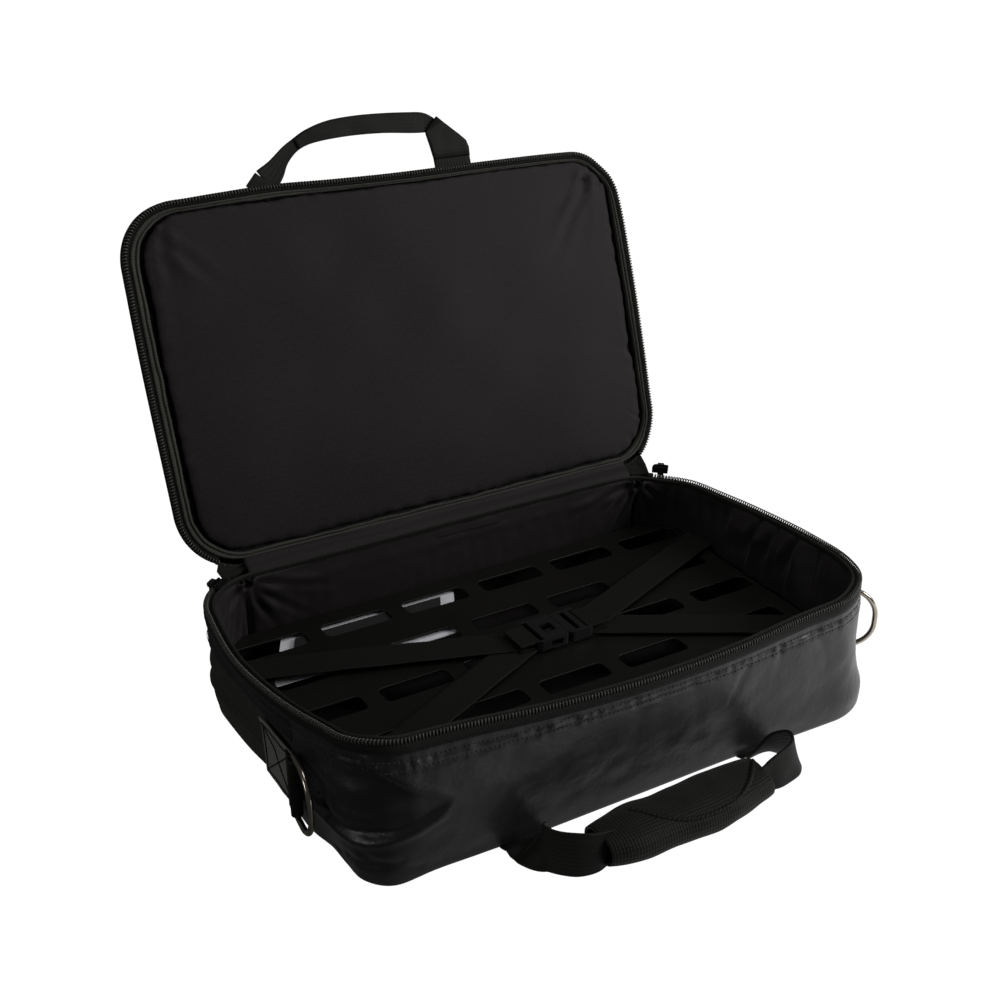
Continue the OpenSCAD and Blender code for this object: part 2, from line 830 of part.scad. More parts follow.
// A flat strap from a side wall's tab to the buckle, its end cut square to the bag
module tie_strap(sx, y) {
    start = [sx * bag_w / 2, y];
    stop = [sx < 0 ? socket_x - 1.5 : plug_x + plug_l + 1.5, buckle_y];
    run = stop - start;
    past = 20;
    z = y > 0 ? back_strap_z : strap_z;
    color("#2f2f29") translate([0, 0, z]) linear_extrude(strap_t) intersection() {
        within(wall_t + anchor_tab[0]);
        translate(start) rotate(atan2(run[1], run[0])) translate([0, -strap_w / 2])
            square([norm(run) + past, strap_w]);
        translate([sx < 0 ? stop[0] - far : stop[0], -far / 2]) square([far, far]);
    }
}

// Sewn tabs on the end walls that hold the straps' ends; they follow the corners
module strap_anchors() {
    wide = strap_w + anchor_tab[1];
    color("#2f2f29") translate([0, 0, strap_z - anchor_tab[3]]) linear_extrude(anchor_tab[2])
        intersection() {
            wall_band(wall_t, anchor_tab[0]);
            for (y = [strap_back_y, strap_front_y])
                translate([-far / 2, y - wide / 2]) square([far, wide]);
            for (s = [-1, 1]) translate([s > 0 ? mid_x : -far - mid_x, -far / 2])
                square([far, far]);
        }
}

// Webbing loop round a buckle's bar; its tail is sewn on top of two straps
module strap_loop(side) {
    hole_r = bar_r + loop_play;
    x = side < 0 ? socket_x + bar_in : plug_x + plug_l - bar_in;
    color("#2f2f29") translate([x, buckle_y, 0]) rotate([90, 0, 0])
        translate([0, 0, -strap_w / 2]) linear_extrude(strap_w) difference() {
            union() {
                translate([0, bar_z]) circle(hole_r + strap_t);
                translate([side < 0 ? -loop_l : 0, loop_t]) square([loop_l, 2 * strap_t]);
            }
            translate([0, bar_z]) circle(hole_r);
        }
}

// Side view of a buckle half: block with a notch for the loop and a bar across it
module buckle_half(long, bar_at) {
    translate([long / 2, 0, 0]) linear_extrude(buckle_h) difference() {
        round_rect(long, buckle_w, 4);
        translate([bar_at < long / 2 ? -long / 2 - 1 : long / 2 - notch, -strap_w / 2 - fit])
            square([notch + 1, strap_w + 2 * fit]);
    }
    translate([bar_at, -strap_w / 2 - 1, bar_z - buckle_z]) rotate([-90, 0, 0])
        cylinder(r = bar_r, h = strap_w + 2);
}

// Prongs of the plug: length, width, height, distance from the middle
prong = [16, 4, 4, 9.5];

module buckle_socket() {
    mouth = [prong[0] + 2, buckle_w - 8, prong[2] + 2 * fit];
    low = (buckle_h - mouth[2]) / 2;
    window = [11, 12];
    color("#202020") translate([socket_x, buckle_y, buckle_z]) difference() {
        buckle_half(socket_l, bar_in);
        translate([socket_l - mouth[0], -mouth[1] / 2, low]) cube([2 * mouth[0], mouth[1], mouth[2]]);
        // window in the top
        translate([socket_l - mouth[0] + 1, -window[1] / 2, buckle_h / 2])
            cube([window[0], window[1], buckle_h]);
        // side windows for the prongs
        translate([socket_l - mouth[0], -buckle_w, low])
            cube([window[0], 2 * buckle_w, mouth[2]]);
    }
}

module buckle_plug() {
    slot = [8, 4.5];
    low = (buckle_h - prong[2]) / 2;
    color("#202020") translate([plug_x, buckle_y, buckle_z]) {
        difference() {
            translate([fit, 0, 0]) buckle_half(plug_l - fit, plug_l - fit - bar_in);
            translate([slot[0], 4 - buckle_w / 2, -1])
                cube([slot[1], buckle_w - 8, buckle_h + 2]);
        }
        for (s = [-1, 1]) translate([-prong[0], s * prong[3] - prong[1] / 2, low])
            cube([prong[0] + fit + 1, prong[1], prong[2]]);
        translate([2 - prong[0], -1.5, low]) cube([prong[0] - 1, 3, prong[2]]);
    }
}

// ---------- every piece ----------

base_bottom_panel();
base_floor_pad();
base_floor_lining();
base_front_panel();
base_end_panel(-1);  // base_left_panel
base_end_panel(1);  // base_right_panel
base_back_panel();
base_long_foam(-1);  // base_front_foam
base_long_foam(1);  // base_back_foam
base_end_foam(-1);  // base_left_foam
base_end_foam(1);  // base_right_foam
base_wall_lining();
base_rim_binding();
base_zip_tape();
base_zip_coil();
zip_end_stops();
ring_tab(-1);  // left_ring_tab
ring_tab(1);  // right_ring_tab
carry_ring(-1);  // left_d_ring
carry_ring(1);  // right_d_ring
base_handle_anchors();
base_handle_webbing();
base_handle_grip();
grip_wrap();
lid_top_panel();
lid_edge_foam();
lid_top_foam();
lid_lining();
lid_rim_binding();
lid_zip_tape();
lid_zip_coil();
lid_handle_anchors();
lid_handle();
hinge_strip();
zip_slider(-1);  // left_slider
zip_slider(1);  // right_slider
zip_pull(-1);  // left_pull
zip_pull(1);  // right_pull
board_plate();
board_edge();
board_feet();
board_screws();
strap_anchors();
tie_strap(-1, strap_back_y);  // strap_back_left
tie_strap(-1, strap_front_y);  // strap_front_left
tie_strap(1, strap_back_y);  // strap_back_right
tie_strap(1, strap_front_y);  // strap_front_right
strap_loop(-1);  // strap_loop_left
strap_loop(1);  // strap_loop_right
buckle_socket();
buckle_plug();
spare_hook_pad();
spare_pad_liner();
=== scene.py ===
"""Looks of an open padded pedal case: sewn nylon shell, zip, lining, slotted board, straps and handles."""

import json
import math

import bmesh
import bpy
import numpy as np
from mathutils import Matrix, Vector


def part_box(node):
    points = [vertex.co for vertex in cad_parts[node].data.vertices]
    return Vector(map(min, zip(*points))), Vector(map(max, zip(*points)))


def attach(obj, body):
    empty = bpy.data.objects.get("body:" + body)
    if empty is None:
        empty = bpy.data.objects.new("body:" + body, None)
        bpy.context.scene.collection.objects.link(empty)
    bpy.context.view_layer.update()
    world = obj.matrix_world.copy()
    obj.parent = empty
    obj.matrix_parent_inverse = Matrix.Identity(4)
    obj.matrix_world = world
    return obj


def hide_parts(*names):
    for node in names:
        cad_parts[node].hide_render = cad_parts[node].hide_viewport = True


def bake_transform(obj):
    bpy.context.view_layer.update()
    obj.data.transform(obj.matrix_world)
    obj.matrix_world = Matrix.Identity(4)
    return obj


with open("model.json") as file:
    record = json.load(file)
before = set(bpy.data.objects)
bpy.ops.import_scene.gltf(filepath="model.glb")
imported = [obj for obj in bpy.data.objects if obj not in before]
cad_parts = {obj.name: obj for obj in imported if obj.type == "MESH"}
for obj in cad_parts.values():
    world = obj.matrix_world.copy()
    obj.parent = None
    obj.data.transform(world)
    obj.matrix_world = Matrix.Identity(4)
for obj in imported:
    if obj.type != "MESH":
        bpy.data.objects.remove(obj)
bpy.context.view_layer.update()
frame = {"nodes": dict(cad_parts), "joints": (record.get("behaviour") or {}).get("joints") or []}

# ---------- sizes: millimetres, read from the frame where a solid gives them ----------

MM = 0.001


def box_mm(node):
    """Lowest and highest corner of a CAD node, in millimetres."""
    return [np.array(corner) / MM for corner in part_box(node)]


HALF_W, HALF_D, _ = box_mm("base_bottom_panel")[1]
CORNER_R = 52.0
MID_X, MID_Y = HALF_W - CORNER_R, HALF_D - CORNER_R
QUARTER = math.pi * CORNER_R / 2
# Arc length once round the outline, from the middle of the front, turning right first
LOOP = 4 * (MID_X + MID_Y + QUARTER)
RIM_Z = box_mm("base_wall_lining")[1][2]
COIL_LO, COIL_HI = box_mm("base_zip_coil")
COIL_Z = (COIL_LO[2] + COIL_HI[2]) / 2
COIL_IN = COIL_LO[0] + HALF_W + 1.3
FLOOR_Z = box_mm("base_floor_lining")[1][2]
BOARD_LO, BOARD_HI = box_mm("board_plate")
# Lid hinge: a line along x behind the back wall
HINGE = next(j for j in frame["joints"] if j["name"] == "lid_hinge")
FOLD_Y, FOLD_Z = HINGE["pos_m"][1] / MM, HINGE["pos_m"][2] / MM
LID_OPEN = math.radians(-HINGE["range_deg"][0])
# How far the zip runs on into each back corner
ZIP_END_S = 2 * QUARTER / 3

# Landmarks on the outline, in arc length
S_FRONT_RIGHT = MID_X + QUARTER
S_BACK_RIGHT = S_FRONT_RIGHT + 2 * MID_Y
S_BACK = S_BACK_RIGHT + QUARTER
S_BACK_END = S_BACK + 2 * MID_X
S_BACK_LEFT = S_BACK_END + QUARTER
S_FRONT_LEFT = S_BACK_LEFT + 2 * MID_Y
# The front cloth ends on both side walls at this y, by the rings' bars
RING_Y = -54.0
S_RIGHT_RING = S_FRONT_RIGHT + MID_Y + RING_Y
S_LEFT_RING = S_BACK_LEFT + MID_Y - RING_Y


# ---------- numbers and shapes ----------


def folds(points, size, seed, waves=14):
    """Soft uneven waves about `size` mm long over points, mostly between -1 and 1."""
    rng = np.random.default_rng(seed)
    points = np.asarray(points, float)
    total = np.zeros(points.shape[:-1])
    for _ in range(waves):
        way = rng.normal(size=points.shape[-1])
        way *= 2 * math.pi / size * rng.uniform(0.6, 1.5) / np.linalg.norm(way)
        total += np.sin(points @ way + rng.uniform(0, 2 * math.pi))
    return total / math.sqrt(waves)


def step(value, low, high):
    """Smooth step from 0 at low to 1 at high."""
    t = np.clip((np.asarray(value, float) - low) / (high - low), 0, 1)
    return t * t * (3 - 2 * t)


def bell(value, middle, width):
    return np.exp(-(((np.asarray(value, float) - middle) / width) ** 2))


def to_line(a, b, start, end):
    """Distance from points (a, b) to a line between two points, and the share along it."""
    start, end = np.array(start, float), np.array(end, float)
    run = end - start
    share = np.clip(((a - start[0]) * run[0] + (b - start[1]) * run[1]) / (run @ run), 0, 1)
    away = np.hypot(a - start[0] - share * run[0], b - start[1] - share * run[1])
    return away, share


def outline(s, inset=0.0):
    """Points and outward normals on the bag's outline at arc length s, moved in by inset."""
    s = np.mod(np.asarray(s, float), LOOP)
    core, normal = np.zeros((*s.shape, 2)), np.zeros((*s.shape, 2))
    start = 0.0
    runs = [
        (MID_X, (0, -MID_Y), -90, False),
        (QUARTER, (MID_X, -MID_Y), -90, True),
        (2 * MID_Y, (MID_X, -MID_Y), 0, False),
        (QUARTER, (MID_X, MID_Y), 0, True),
        (2 * MID_X, (MID_X, MID_Y), 90, False),
        (QUARTER, (-MID_X, MID_Y), 90, True),
        (2 * MID_Y, (-MID_X, MID_Y), 180, False),
        (QUARTER, (-MID_X, -MID_Y), 180, True),
        (MID_X, (-MID_X, -MID_Y), 270, False),
    ]
    for long, place, angle, turns in runs:
        here = (s >= start) & (s <= start + long)
        along = s[here] - start
        facing = math.radians(angle) + (along / CORNER_R if turns else 0 * along)
        normal[here] = np.stack([np.cos(facing), np.sin(facing)], -1)
        way = np.stack([-np.sin(facing), np.cos(facing)], -1) * (0 if turns else 1)
        core[here] = np.array(place, float) + way * along[:, None]
        start += long
    inset = np.broadcast_to(inset, s.shape)
    return core + normal * (CORNER_R - inset)[..., None], normal


# The soft rim as it stands: arc length and how far it leans out, from the front's middle round
RIM_LEAN = [
    (0, -1), (90, -3), (172, -10), (229, -7), (262, 3), (285, 10), (325, 14), (395, 10), (457, 1),
    (512, -7), (560, -3), (640, 0), (860, 0), (960, 1), (1010, 6), (1040, 10), (1079, 13), (1129, 9),
    (1177, 0), (1206, -8), (1254, -16), (1294, -17), (1341, -14), (1408, -6),
]
RIM_RISE = [
    (0, 0), (172, 2), (229, 4), (262, 5), (325, 2), (395, 0), (457, -2), (512, -4), (560, 0), (640, 0),
    (1040, 0), (1129, 0), (1206, 4), (1254, 7), (1294, 6), (1380, 2),
]
# The same for the middle of the wall's height and for its foot
WAIST_LEAN = [
    (0, 0), (150, -1), (200, -3), (229, -5), (262, -6), (300, 0), (450, 0), (900, 0), (960, 2),
    (1000, 5), (1040, 6), (1080, 4), (1129, 0), (1177, 0), (1215, -3), (1254, -4), (1300, 0),
    (1400, 0),
]
FOOT_LEAN = [
    (0, 0), (100, 0), (160, 2), (200, 3), (240, 4), (270, 1), (320, 0), (900, 0), (960, 1), (1000, 0),
    (1060, -2), (1110, -6.4), (1150, -3.2), (1180, -3.8), (1206, -9), (1230, -7.6), (1250, -0.3),
    (1270, 2.5), (1290, -1.5), (1340, -1.5), (1370, -0.4), (1440, 0),
]
# How far the lid's edge is drawn in when it stands open
LID_DRAW = [
    (0, 5.5), (100, 6), (170, 7), (215, 9), (229, 10), (250, 8), (280, 5), (330, 3.5), (420, 4),
    (470, 5.5), (500, 5), (530, 1), (600, 0), (1000, 0), (1180, -0.5), (1254, 1.5), (1290, 4),
    (1330, 3), (1380, 2), (1430, 4),
]


def loop_value(s, table):
    """Smooth value at arc length s of a table that closes on itself."""
    place = np.array([p for p, _ in table] + [LOOP + table[0][0]], float)
    value = np.array([v for _, v in table] + [table[0][1]], float)
    s = np.mod(np.asarray(s, float), LOOP)
    k = np.clip(np.searchsorted(place, s, side="right") - 1, 0, len(place) - 2)
    t = (s - place[k]) / (place[k + 1] - place[k])
    slope = np.gradient(np.concatenate([value[-3:-1], value, value[1:3]]),
                        np.concatenate([place[-3:-1] - LOOP, place, place[1:3] + LOOP]))[2:-2]
    h = place[k + 1] - place[k]
    return (
        (2 * t**3 - 3 * t**2 + 1) * value[k] + (t**3 - 2 * t**2 + t) * h * slope[k]
        + (3 * t**2 - 2 * t**3) * value[k + 1] + (t**3 - t**2) * h * slope[k + 1]
    )


def rim_bulge(s, z):
    """How far the soft walls lean out at a height."""
    return (
        loop_value(s, RIM_LEAN) * step(z, 50, 106) + loop_value(s, WAIST_LEAN) * bell(z, 52, 28)
        + loop_value(s, FOOT_LEAN) * (1 - step(z, 8, 50))
    )


def base_at(s, inset, z):
    """3-D points of the base at arc length s, inset and height z."""
    s, inset, z = np.broadcast_arrays(*(np.asarray(v, float) for v in (s, inset, z)))
    flat, _ = outline(s, inset - rim_bulge(s, z))
    lifted = z + loop_value(s, RIM_RISE) * step(z, 60, 106)
    return np.concatenate([flat, lifted[..., None]], -1)


def outward(s):
    """Level way out of the outline at arc length s, as 3-D vectors."""
    facing = outline(s)[1]
    return np.concatenate([facing, np.zeros((*facing.shape[:-1], 1))], -1)


def section_grid(s, section):
    """Arc length, inset and height for each point of a section swept along s."""
    section = np.array(section, float)
    S, I = np.meshgrid(s, section[:, 0])
    return S, I, np.broadcast_to(section[:, 1][:, None], S.shape)


def open_lid(points):
    """Turns points drawn on the closed lid to where the open lid stands."""
    points = np.array(points, float)
    y, z = points[..., 1] - FOLD_Y, points[..., 2] - FOLD_Z
    c, s = math.cos(LID_OPEN), -math.sin(LID_OPEN)
    points[..., 1] = FOLD_Y + y * c - z * s
    points[..., 2] = FOLD_Z + y * s + z * c
    return points


def to_spine(edge, share):
    """Ring of points between an outline (share 1) and the bag's middle line (share 0)."""
    middle = np.stack([np.clip(edge[:, 0], -MID_X / 2, MID_X / 2), 0 * edge[:, 1]], -1)
    return middle + (edge - middle) * share


def lid_at(s, inset, z):
    """3-D points of the open lid, from arc length, inset and height on the closed lid."""
    s, inset, z = np.broadcast_arrays(*(np.asarray(v, float) for v in (s, inset, z)))
    flat, _ = outline(s, inset + loop_value(s, LID_DRAW) * (1 - step(inset, 5, 19)))
    return open_lid(np.concatenate([flat, z[..., None]], -1))


# ---------- meshes ----------


def new_object(name, mesh):
    made = bpy.data.objects.new(name, mesh)
    bpy.context.scene.collection.objects.link(made)
    return made


def cloth_grid(name, rows, closed=False, flip=False, flat_map=False):
    """Smooth mesh through a grid of points in mm. Its map is in metres along the cloth."""
    rows = np.asarray(rows, float)
    nv, nu = rows.shape[:2]
    wrap = nu if closed else nu - 1
    index = np.arange(nv * nu).reshape(nv, nu)
    nxt = np.roll(index, -1, 1)
    quads = np.stack(
        [index[:-1, :wrap], nxt[:-1, :wrap], nxt[1:, :wrap], index[1:, :wrap]], -1
    ).reshape(-1, 4)
    if flip:
        quads = quads[:, ::-1]
    mesh = bpy.data.meshes.new(name)
    mesh.from_pydata((rows.reshape(-1, 3) * MM).tolist(), [], quads.tolist())
    mesh.update()
    around = np.concatenate([rows, rows[:, :1]], 1) if closed else rows
    u = np.linalg.norm(np.diff(around, axis=1), axis=2).mean(0)
    u = np.concatenate([[0], np.cumsum(u)])
    v = np.linalg.norm(np.diff(rows, axis=0), axis=2).mean(1)
    v = np.concatenate([[0], np.cumsum(v)])
    layer = mesh.uv_layers.new(name="cloth")
    corner = np.empty(len(mesh.loops), int)
    mesh.loops.foreach_get("vertex_index", corner)
    if flat_map:
        uv = rows.reshape(-1, 3)[corner][:, :2]
    else:
        row, col = corner // nu, corner % nu
        face = np.repeat(np.arange(len(quads)), 4)
        seam = closed & (face % wrap == wrap - 1) & (col == 0)
        uv = np.stack([u[np.where(seam, nu, col)], v[row]], -1)
    layer.data.foreach_set("uv", (uv * MM).astype(np.float32).ravel())
    mesh.polygons.foreach_set("use_smooth", [True] * len(mesh.polygons))
    return new_object(name, mesh)


def weld(made, reach=0.02, turn_out=False):
    """Merges the points of a mesh that lie within reach mm, and can turn its faces outward."""
    shape = bmesh.new()
    shape.from_mesh(made.data)
    bmesh.ops.remove_doubles(shape, verts=shape.verts, dist=reach * MM)
    if turn_out:
        bmesh.ops.recalc_face_normals(shape, faces=shape.faces)
    shape.to_mesh(made.data)
    shape.free()
    return made


def thicken(made, thick, offset=-1.0):
    wall = made.modifiers.new("thickness", "SOLIDIFY")
    wall.thickness = thick * MM
    wall.offset = offset
    wall.use_even_offset = False
    return made


def unit(v):
    return v / np.maximum(np.linalg.norm(v, axis=-1, keepdims=True), 1e-9)


def spread(points, spacing, closed=False):
    """Points evenly spaced along a smooth curve through the given points."""
    points = np.asarray(points, float)
    if closed:
        points = np.concatenate([points, points[:1]])
    padded = np.concatenate([2 * points[:1] - points[1:2], points, 2 * points[-1:] - points[-2:-1]])
    if closed:
        padded[0], padded[-1] = points[-2], points[1]
    dense = []
    for i in range(len(points) - 1):
        p0, p1, p2, p3 = padded[i : i + 4]
        for t in np.linspace(0, 1, 12, endpoint=False):
            dense.append(
                0.5
                * (
                    2 * p1
                    + (p2 - p0) * t
                    + (2 * p0 - 5 * p1 + 4 * p2 - p3) * t * t
                    + (3 * p1 - p0 - 3 * p2 + p3) * t**3
                )
            )
    dense.append(points[-1])
    dense = np.array(dense)
    far = np.concatenate([[0], np.cumsum(np.linalg.norm(np.diff(dense[:, :3], axis=0), axis=1))])
    count = max(3, int(round(far[-1] / spacing)) + 1)
    wanted = np.linspace(0, far[-1], count)
    out = np.stack([np.interp(wanted, far, dense[:, k]) for k in range(dense.shape[1])], -1)
    return out[:-1] if closed else out


def ribbon(name, stations, width, thick, spacing=3.0, across=9, ripple=0.0, seed=1):
    """Webbing along stations of (x, y, z, ax, ay, az), a being the way across the band.

    A seventh number gives the band's own width there."""
    line = spread(stations, spacing)
    centre, side = line[:, :3], unit(line[:, 3:6])
    wide = line[:, 6] if line.shape[1] > 6 else np.full(len(line), float(width))
    way = unit(np.gradient(centre, axis=0))
    side = unit(side - way * (side * way).sum(-1, keepdims=True))
    up = np.cross(side, way)
    share = np.linspace(-0.5, 0.5, across)
    rows = centre[None] + share[:, None, None] * side[None] * wide[None, :, None]
    if ripple:
        along = np.arange(len(line)) * spacing
        lift = folds(np.stack(np.meshgrid(along, share * width), -1), 34, seed)
        rows = rows + ripple * lift[..., None] * up[None]
    rows[..., 2] = np.maximum(rows[..., 2], thick / 2 + 0.1)
    made = cloth_grid(name, rows, flip=True)
    thicken(made, thick, 0.0)
    edge = made.modifiers.new("edge", "BEVEL")
    edge.width = thick * 0.3 * MM
    edge.segments = 2
    edge.limit_method = "ANGLE"
    return made


def tube(name, points, radius, closed=False, sides=4):
    """Round wire or cord through points in mm."""
    curve = bpy.data.curves.new(name, "CURVE")
    curve.dimensions = "3D"
    curve.bevel_depth = radius * MM
    curve.bevel_resolution = sides
    curve.use_fill_caps = True
    line = curve.splines.new("POLY")
    points = np.asarray(points, float)
    line.points.add(len(points) - 1)
    flat = np.concatenate([points * MM, np.ones((len(points), 1))], 1)
    line.points.foreach_set("co", flat.astype(np.float32).ravel())
    line.use_cyclic_u = closed
    line.use_smooth = True
    return plain_mesh(new_object(name, curve))


def plain_mesh(made, name=None):
    """Replaces an object by the mesh that its curve or modifiers give."""
    graph = bpy.context.evaluated_depsgraph_get()
    mesh = bpy.data.meshes.new_from_object(made.evaluated_get(graph))
    name = name or made.name
    bpy.data.objects.remove(made)
    mesh.name = name
    return new_object(name, mesh)


def block(name, outline_points, low, high, bevel=0.6, segments=3):
    """Plate with a flat outline from low to high z in mm, its edges rounded."""
    curve = bpy.data.curves.new(name, "CURVE")
    curve.dimensions = "2D"
    curve.fill_mode = "BOTH"
    curve.extrude = ((high - low) / 2 - bevel) * MM
    curve.bevel_depth = bevel * MM
    curve.bevel_resolution = segments
    curve.offset = -bevel * MM
    for loop in outline_points:
        line = curve.splines.new("POLY")
        line.points.add(len(loop) - 1)
        flat = np.zeros((len(loop), 4))
        flat[:, :2] = np.asarray(loop, float) * MM
        flat[:, 3] = 1
        line.points.foreach_set("co", flat.astype(np.float32).ravel())
        line.use_cyclic_u = True
    made = plain_mesh(new_object(name, curve))
    made.data.transform(Matrix.Translation((0, 0, (low + high) / 2 * MM)))
    return weld(made, 0.001, turn_out=True)


def round_rect(w, d, r, x=0.0, y=0.0, steps=6, turn=0.0):
    """Outline of a rectangle with round corners about (x, y)."""
    points = []
    for k, (sx, sy) in enumerate([(1, 1), (-1, 1), (-1, -1), (1, -1)]):
        for a in np.linspace(90 * k, 90 * k + 90, steps + 1):
            a = math.radians(a)
            points.append((sx * (w / 2 - r) + r * math.cos(a), sy * (d / 2 - r) + r * math.sin(a)))
    points = np.array(points)
    c, s = math.cos(turn), math.sin(turn)
    return points @ np.array([[c, s], [-s, c]]) + (x, y)


# ---------- node helpers and materials ----------


def add(tree, kind, inputs=(), **settings):
    """Adds a node with its settings; an input is given a value or a socket to be linked."""
    made = tree.nodes.new(kind)
    for name, value in settings.items():
        setattr(made, name, value)
    for name, value in dict(inputs).items():
        if isinstance(value, bpy.types.NodeSocket):
            tree.links.new(value, made.inputs[name])
        else:
            made.inputs[name].default_value = value
    return made


def noise(tree, place, scale, detail=2.0, **more):
    """Factor of a noise texture, scale in lumps per metre."""
    inputs = {"Vector": place, "Scale": scale, "Detail": detail, **more}
    return add(tree, "ShaderNodeTexNoise", inputs).outputs["Fac"]


def linear(colour):
    """Linear colour of an sRGB hex value."""
    parts = [int(colour[i : i + 2], 16) / 255 for i in (1, 3, 5)]
    return [c / 12.92 if c <= 0.04045 else ((c + 0.055) / 1.055) ** 2.4 for c in parts] + [1]


def bands(period):
    """Wave Texture scale that gives one band every `period` metres."""
    return math.pi / (10 * period)


def shader(name, **values):
    made = bpy.data.materials.new(name)
    made.use_nodes = True
    surface = made.node_tree.nodes["Principled BSDF"]
    for key, value in values.items():
        surface.inputs[key.replace("_", " ")].default_value = value
    return made, made.node_tree, surface


def tint(tree, surface, factor, dark, light):
    """Surface colour that runs from dark to light with a factor."""
    mix = add(tree, "ShaderNodeMix", {0: factor, 6: linear(dark), 7: linear(light)}, data_type="RGBA")
    tree.links.new(mix.outputs[2], surface.inputs["Base Color"])
    return mix


def raise_bump(tree, surface, height, depth, strength=1.0, under=None):
    inputs = {"Height": height, "Distance": depth * MM, "Strength": strength}
    if under is not None:
        inputs["Normal"] = under.outputs["Normal"]
    bump = add(tree, "ShaderNodeBump", inputs)
    tree.links.new(bump.outputs["Normal"], surface.inputs["Normal"])
    return bump


def wave(tree, place, gap, way):
    """Factor of a wave texture with its bands gap mm apart along X or Y."""
    made = add(tree, "ShaderNodeTexWave", {"Vector": place, "Scale": bands(gap * MM)}, bands_direction=way)
    return made.outputs["Fac"]


def vary_roughness(tree, surface, factor, low, high):
    """Runs the surface's roughness from low to high with a factor."""
    rough = add(tree, "ShaderNodeMapRange", {0: factor, 3: low, 4: high})
    tree.links.new(rough.outputs[0], surface.inputs["Roughness"])


def weave_height(tree, place, u_mm, v_mm, turn=0.0):
    """Over-and-under height of a plain weave with that thread spacing."""
    turned = add(tree, "ShaderNodeMapping", {"Vector": place, "Rotation": (0, 0, turn)}).outputs[0]
    crossed = {0: wave(tree, turned, u_mm, "X"), 1: wave(tree, turned, v_mm, "Y")}
    return add(tree, "ShaderNodeMath", crossed, operation="ADD").outputs[0]


def fabric(
    name, dark, light, roughness, threads, depth=0.12, turn=0.0, sheen=0.06, grime=60.0, mapped=True,
    gloss=0.16, weave_shade=0.22, grain=0.45, slub=2.5,
):
    """Woven nylon, its threads in mm across and along.

    The colour runs unevenly over `grime` mm patches and over slubs of `slub` threads, and `grain` is how
    much of it follows the slubs. A share set by the argument before `grain` follows the weave: painted
    shade, lighter on the thread crests and darker in the gaps between them."""
    made, tree, surface = shader(
        name, Roughness=roughness, Sheen_Weight=sheen, Sheen_Roughness=0.5, Specular_IOR_Level=gloss
    )
    source = add(tree, "ShaderNodeTexCoord")
    place = source.outputs["UV"] if mapped else source.outputs["Object"]
    weave = weave_height(tree, place, threads[0], threads[1], turn)
    patches = noise(tree, source.outputs["Object"], 1 / (grime * MM), 4.0)
    slubs = noise(tree, place, 1 / (threads[0] * slub * MM))
    blend = add(tree, "ShaderNodeMix", {0: grain, 2: patches, 3: slubs}).outputs[0]
    # Painted shade: the weave's height lightens the thread crests and darkens the gaps between them
    lift = add(tree, "ShaderNodeMath", {0: weave, 1: weave_shade, 2: blend}, operation="MULTIPLY_ADD").outputs[0]
    shade = add(tree, "ShaderNodeMath", {0: lift, 1: -0.9 * weave_shade}, operation="ADD", use_clamp=True)
    tint(tree, surface, shade.outputs[0], dark, light)
    raise_bump(tree, surface, weave, depth, 0.6)
    return made


def satin_nylon():
    """Coated taffeta: very fine, so only its slubs show, with a soft silky gloss."""
    made, tree, surface = shader("taffeta_nylon", Roughness=0.36, Sheen_Weight=0.1)
    source = add(tree, "ShaderNodeTexCoord")
    streak = add(tree, "ShaderNodeMapping", {"Vector": source.outputs["UV"], "Scale": (120, 900, 1)})
    slubs = noise(tree, streak.outputs["Vector"], 1.0, 3.0)
    crumple = noise(tree, source.outputs["Object"], 42.0, 3.0, Roughness=0.55)
    creases = noise(tree, source.outputs["Object"], 120.0, 4.0, Roughness=0.6, Distortion=0.6)
    tint(tree, surface, slubs, "#060607", "#121214")
    wide = raise_bump(tree, surface, crumple, 2.2, 0.5)
    small = raise_bump(tree, surface, creases, 0.7, 0.45, under=wide)
    raise_bump(tree, surface, slubs, 0.05, 0.5, under=small)
    vary_roughness(tree, surface, crumple, 0.3, 0.46)
    return made


def webbing(name, dark, light, rib=3.0):
    """Polypropylene webbing: ribs along its length and fine picks across it, their grooves painted darker as
    shade.
    """
    made, tree, surface = shader(name, Roughness=0.6, Sheen_Weight=0.03, Specular_IOR_Level=0.2)
    source = add(tree, "ShaderNodeTexCoord")
    ribs = wave(tree, source.outputs["UV"], rib, "Y")
    # Real picks are 0.6 mm apart; 1.4 mm is as fine as shows
    picks = wave(tree, source.outputs["UV"], 1.4, "X")
    mixed = add(tree, "ShaderNodeMix", {0: 0.4, 2: ribs, 3: picks}).outputs[0]
    fuzz = noise(tree, source.outputs["Object"], 260.0, 3.0)
    # Painted shade: the colour follows the ribs' and picks' height, darker in their grooves, half mixed with
    # random fuzz
    rib_shade_and_fuzz = add(tree, "ShaderNodeMix", {0: 0.5, 2: mixed, 3: fuzz}).outputs[0]
    tint(tree, surface, rib_shade_and_fuzz, dark, light)
    raise_bump(tree, surface, mixed, 0.25, 0.7)
    return made


def coil_nylon():
    """Nylon monofilament of the zip: dark grey and half glossy; random lighter spots in its colour are a
    painted highlight for light on its crests.
    """
    made, tree, surface = shader("coil_nylon", Roughness=0.38, IOR=1.53)
    source = add(tree, "ShaderNodeTexCoord")
    # Painted highlight: random noise lightens the coil's colour toward a light grey
    tint(tree, surface, noise(tree, source.outputs["Object"], 600.0), "#161614", "#56564f")
    return made


def moulded(name, dark, light, roughness, grain=1.2):
    """Moulded plastic or rubber with a fine spark-eroded grain."""
    made, tree, surface = shader(name, Roughness=roughness, IOR=1.5)
    source = add(tree, "ShaderNodeTexCoord")
    fine = noise(tree, source.outputs["Object"], 1 / (grain * MM), 3.0)
    tint(tree, surface, fine, dark, light)
    raise_bump(tree, surface, fine, 0.05, 0.5)
    vary_roughness(tree, surface, fine, roughness - 0.06, roughness + 0.08)
    return made


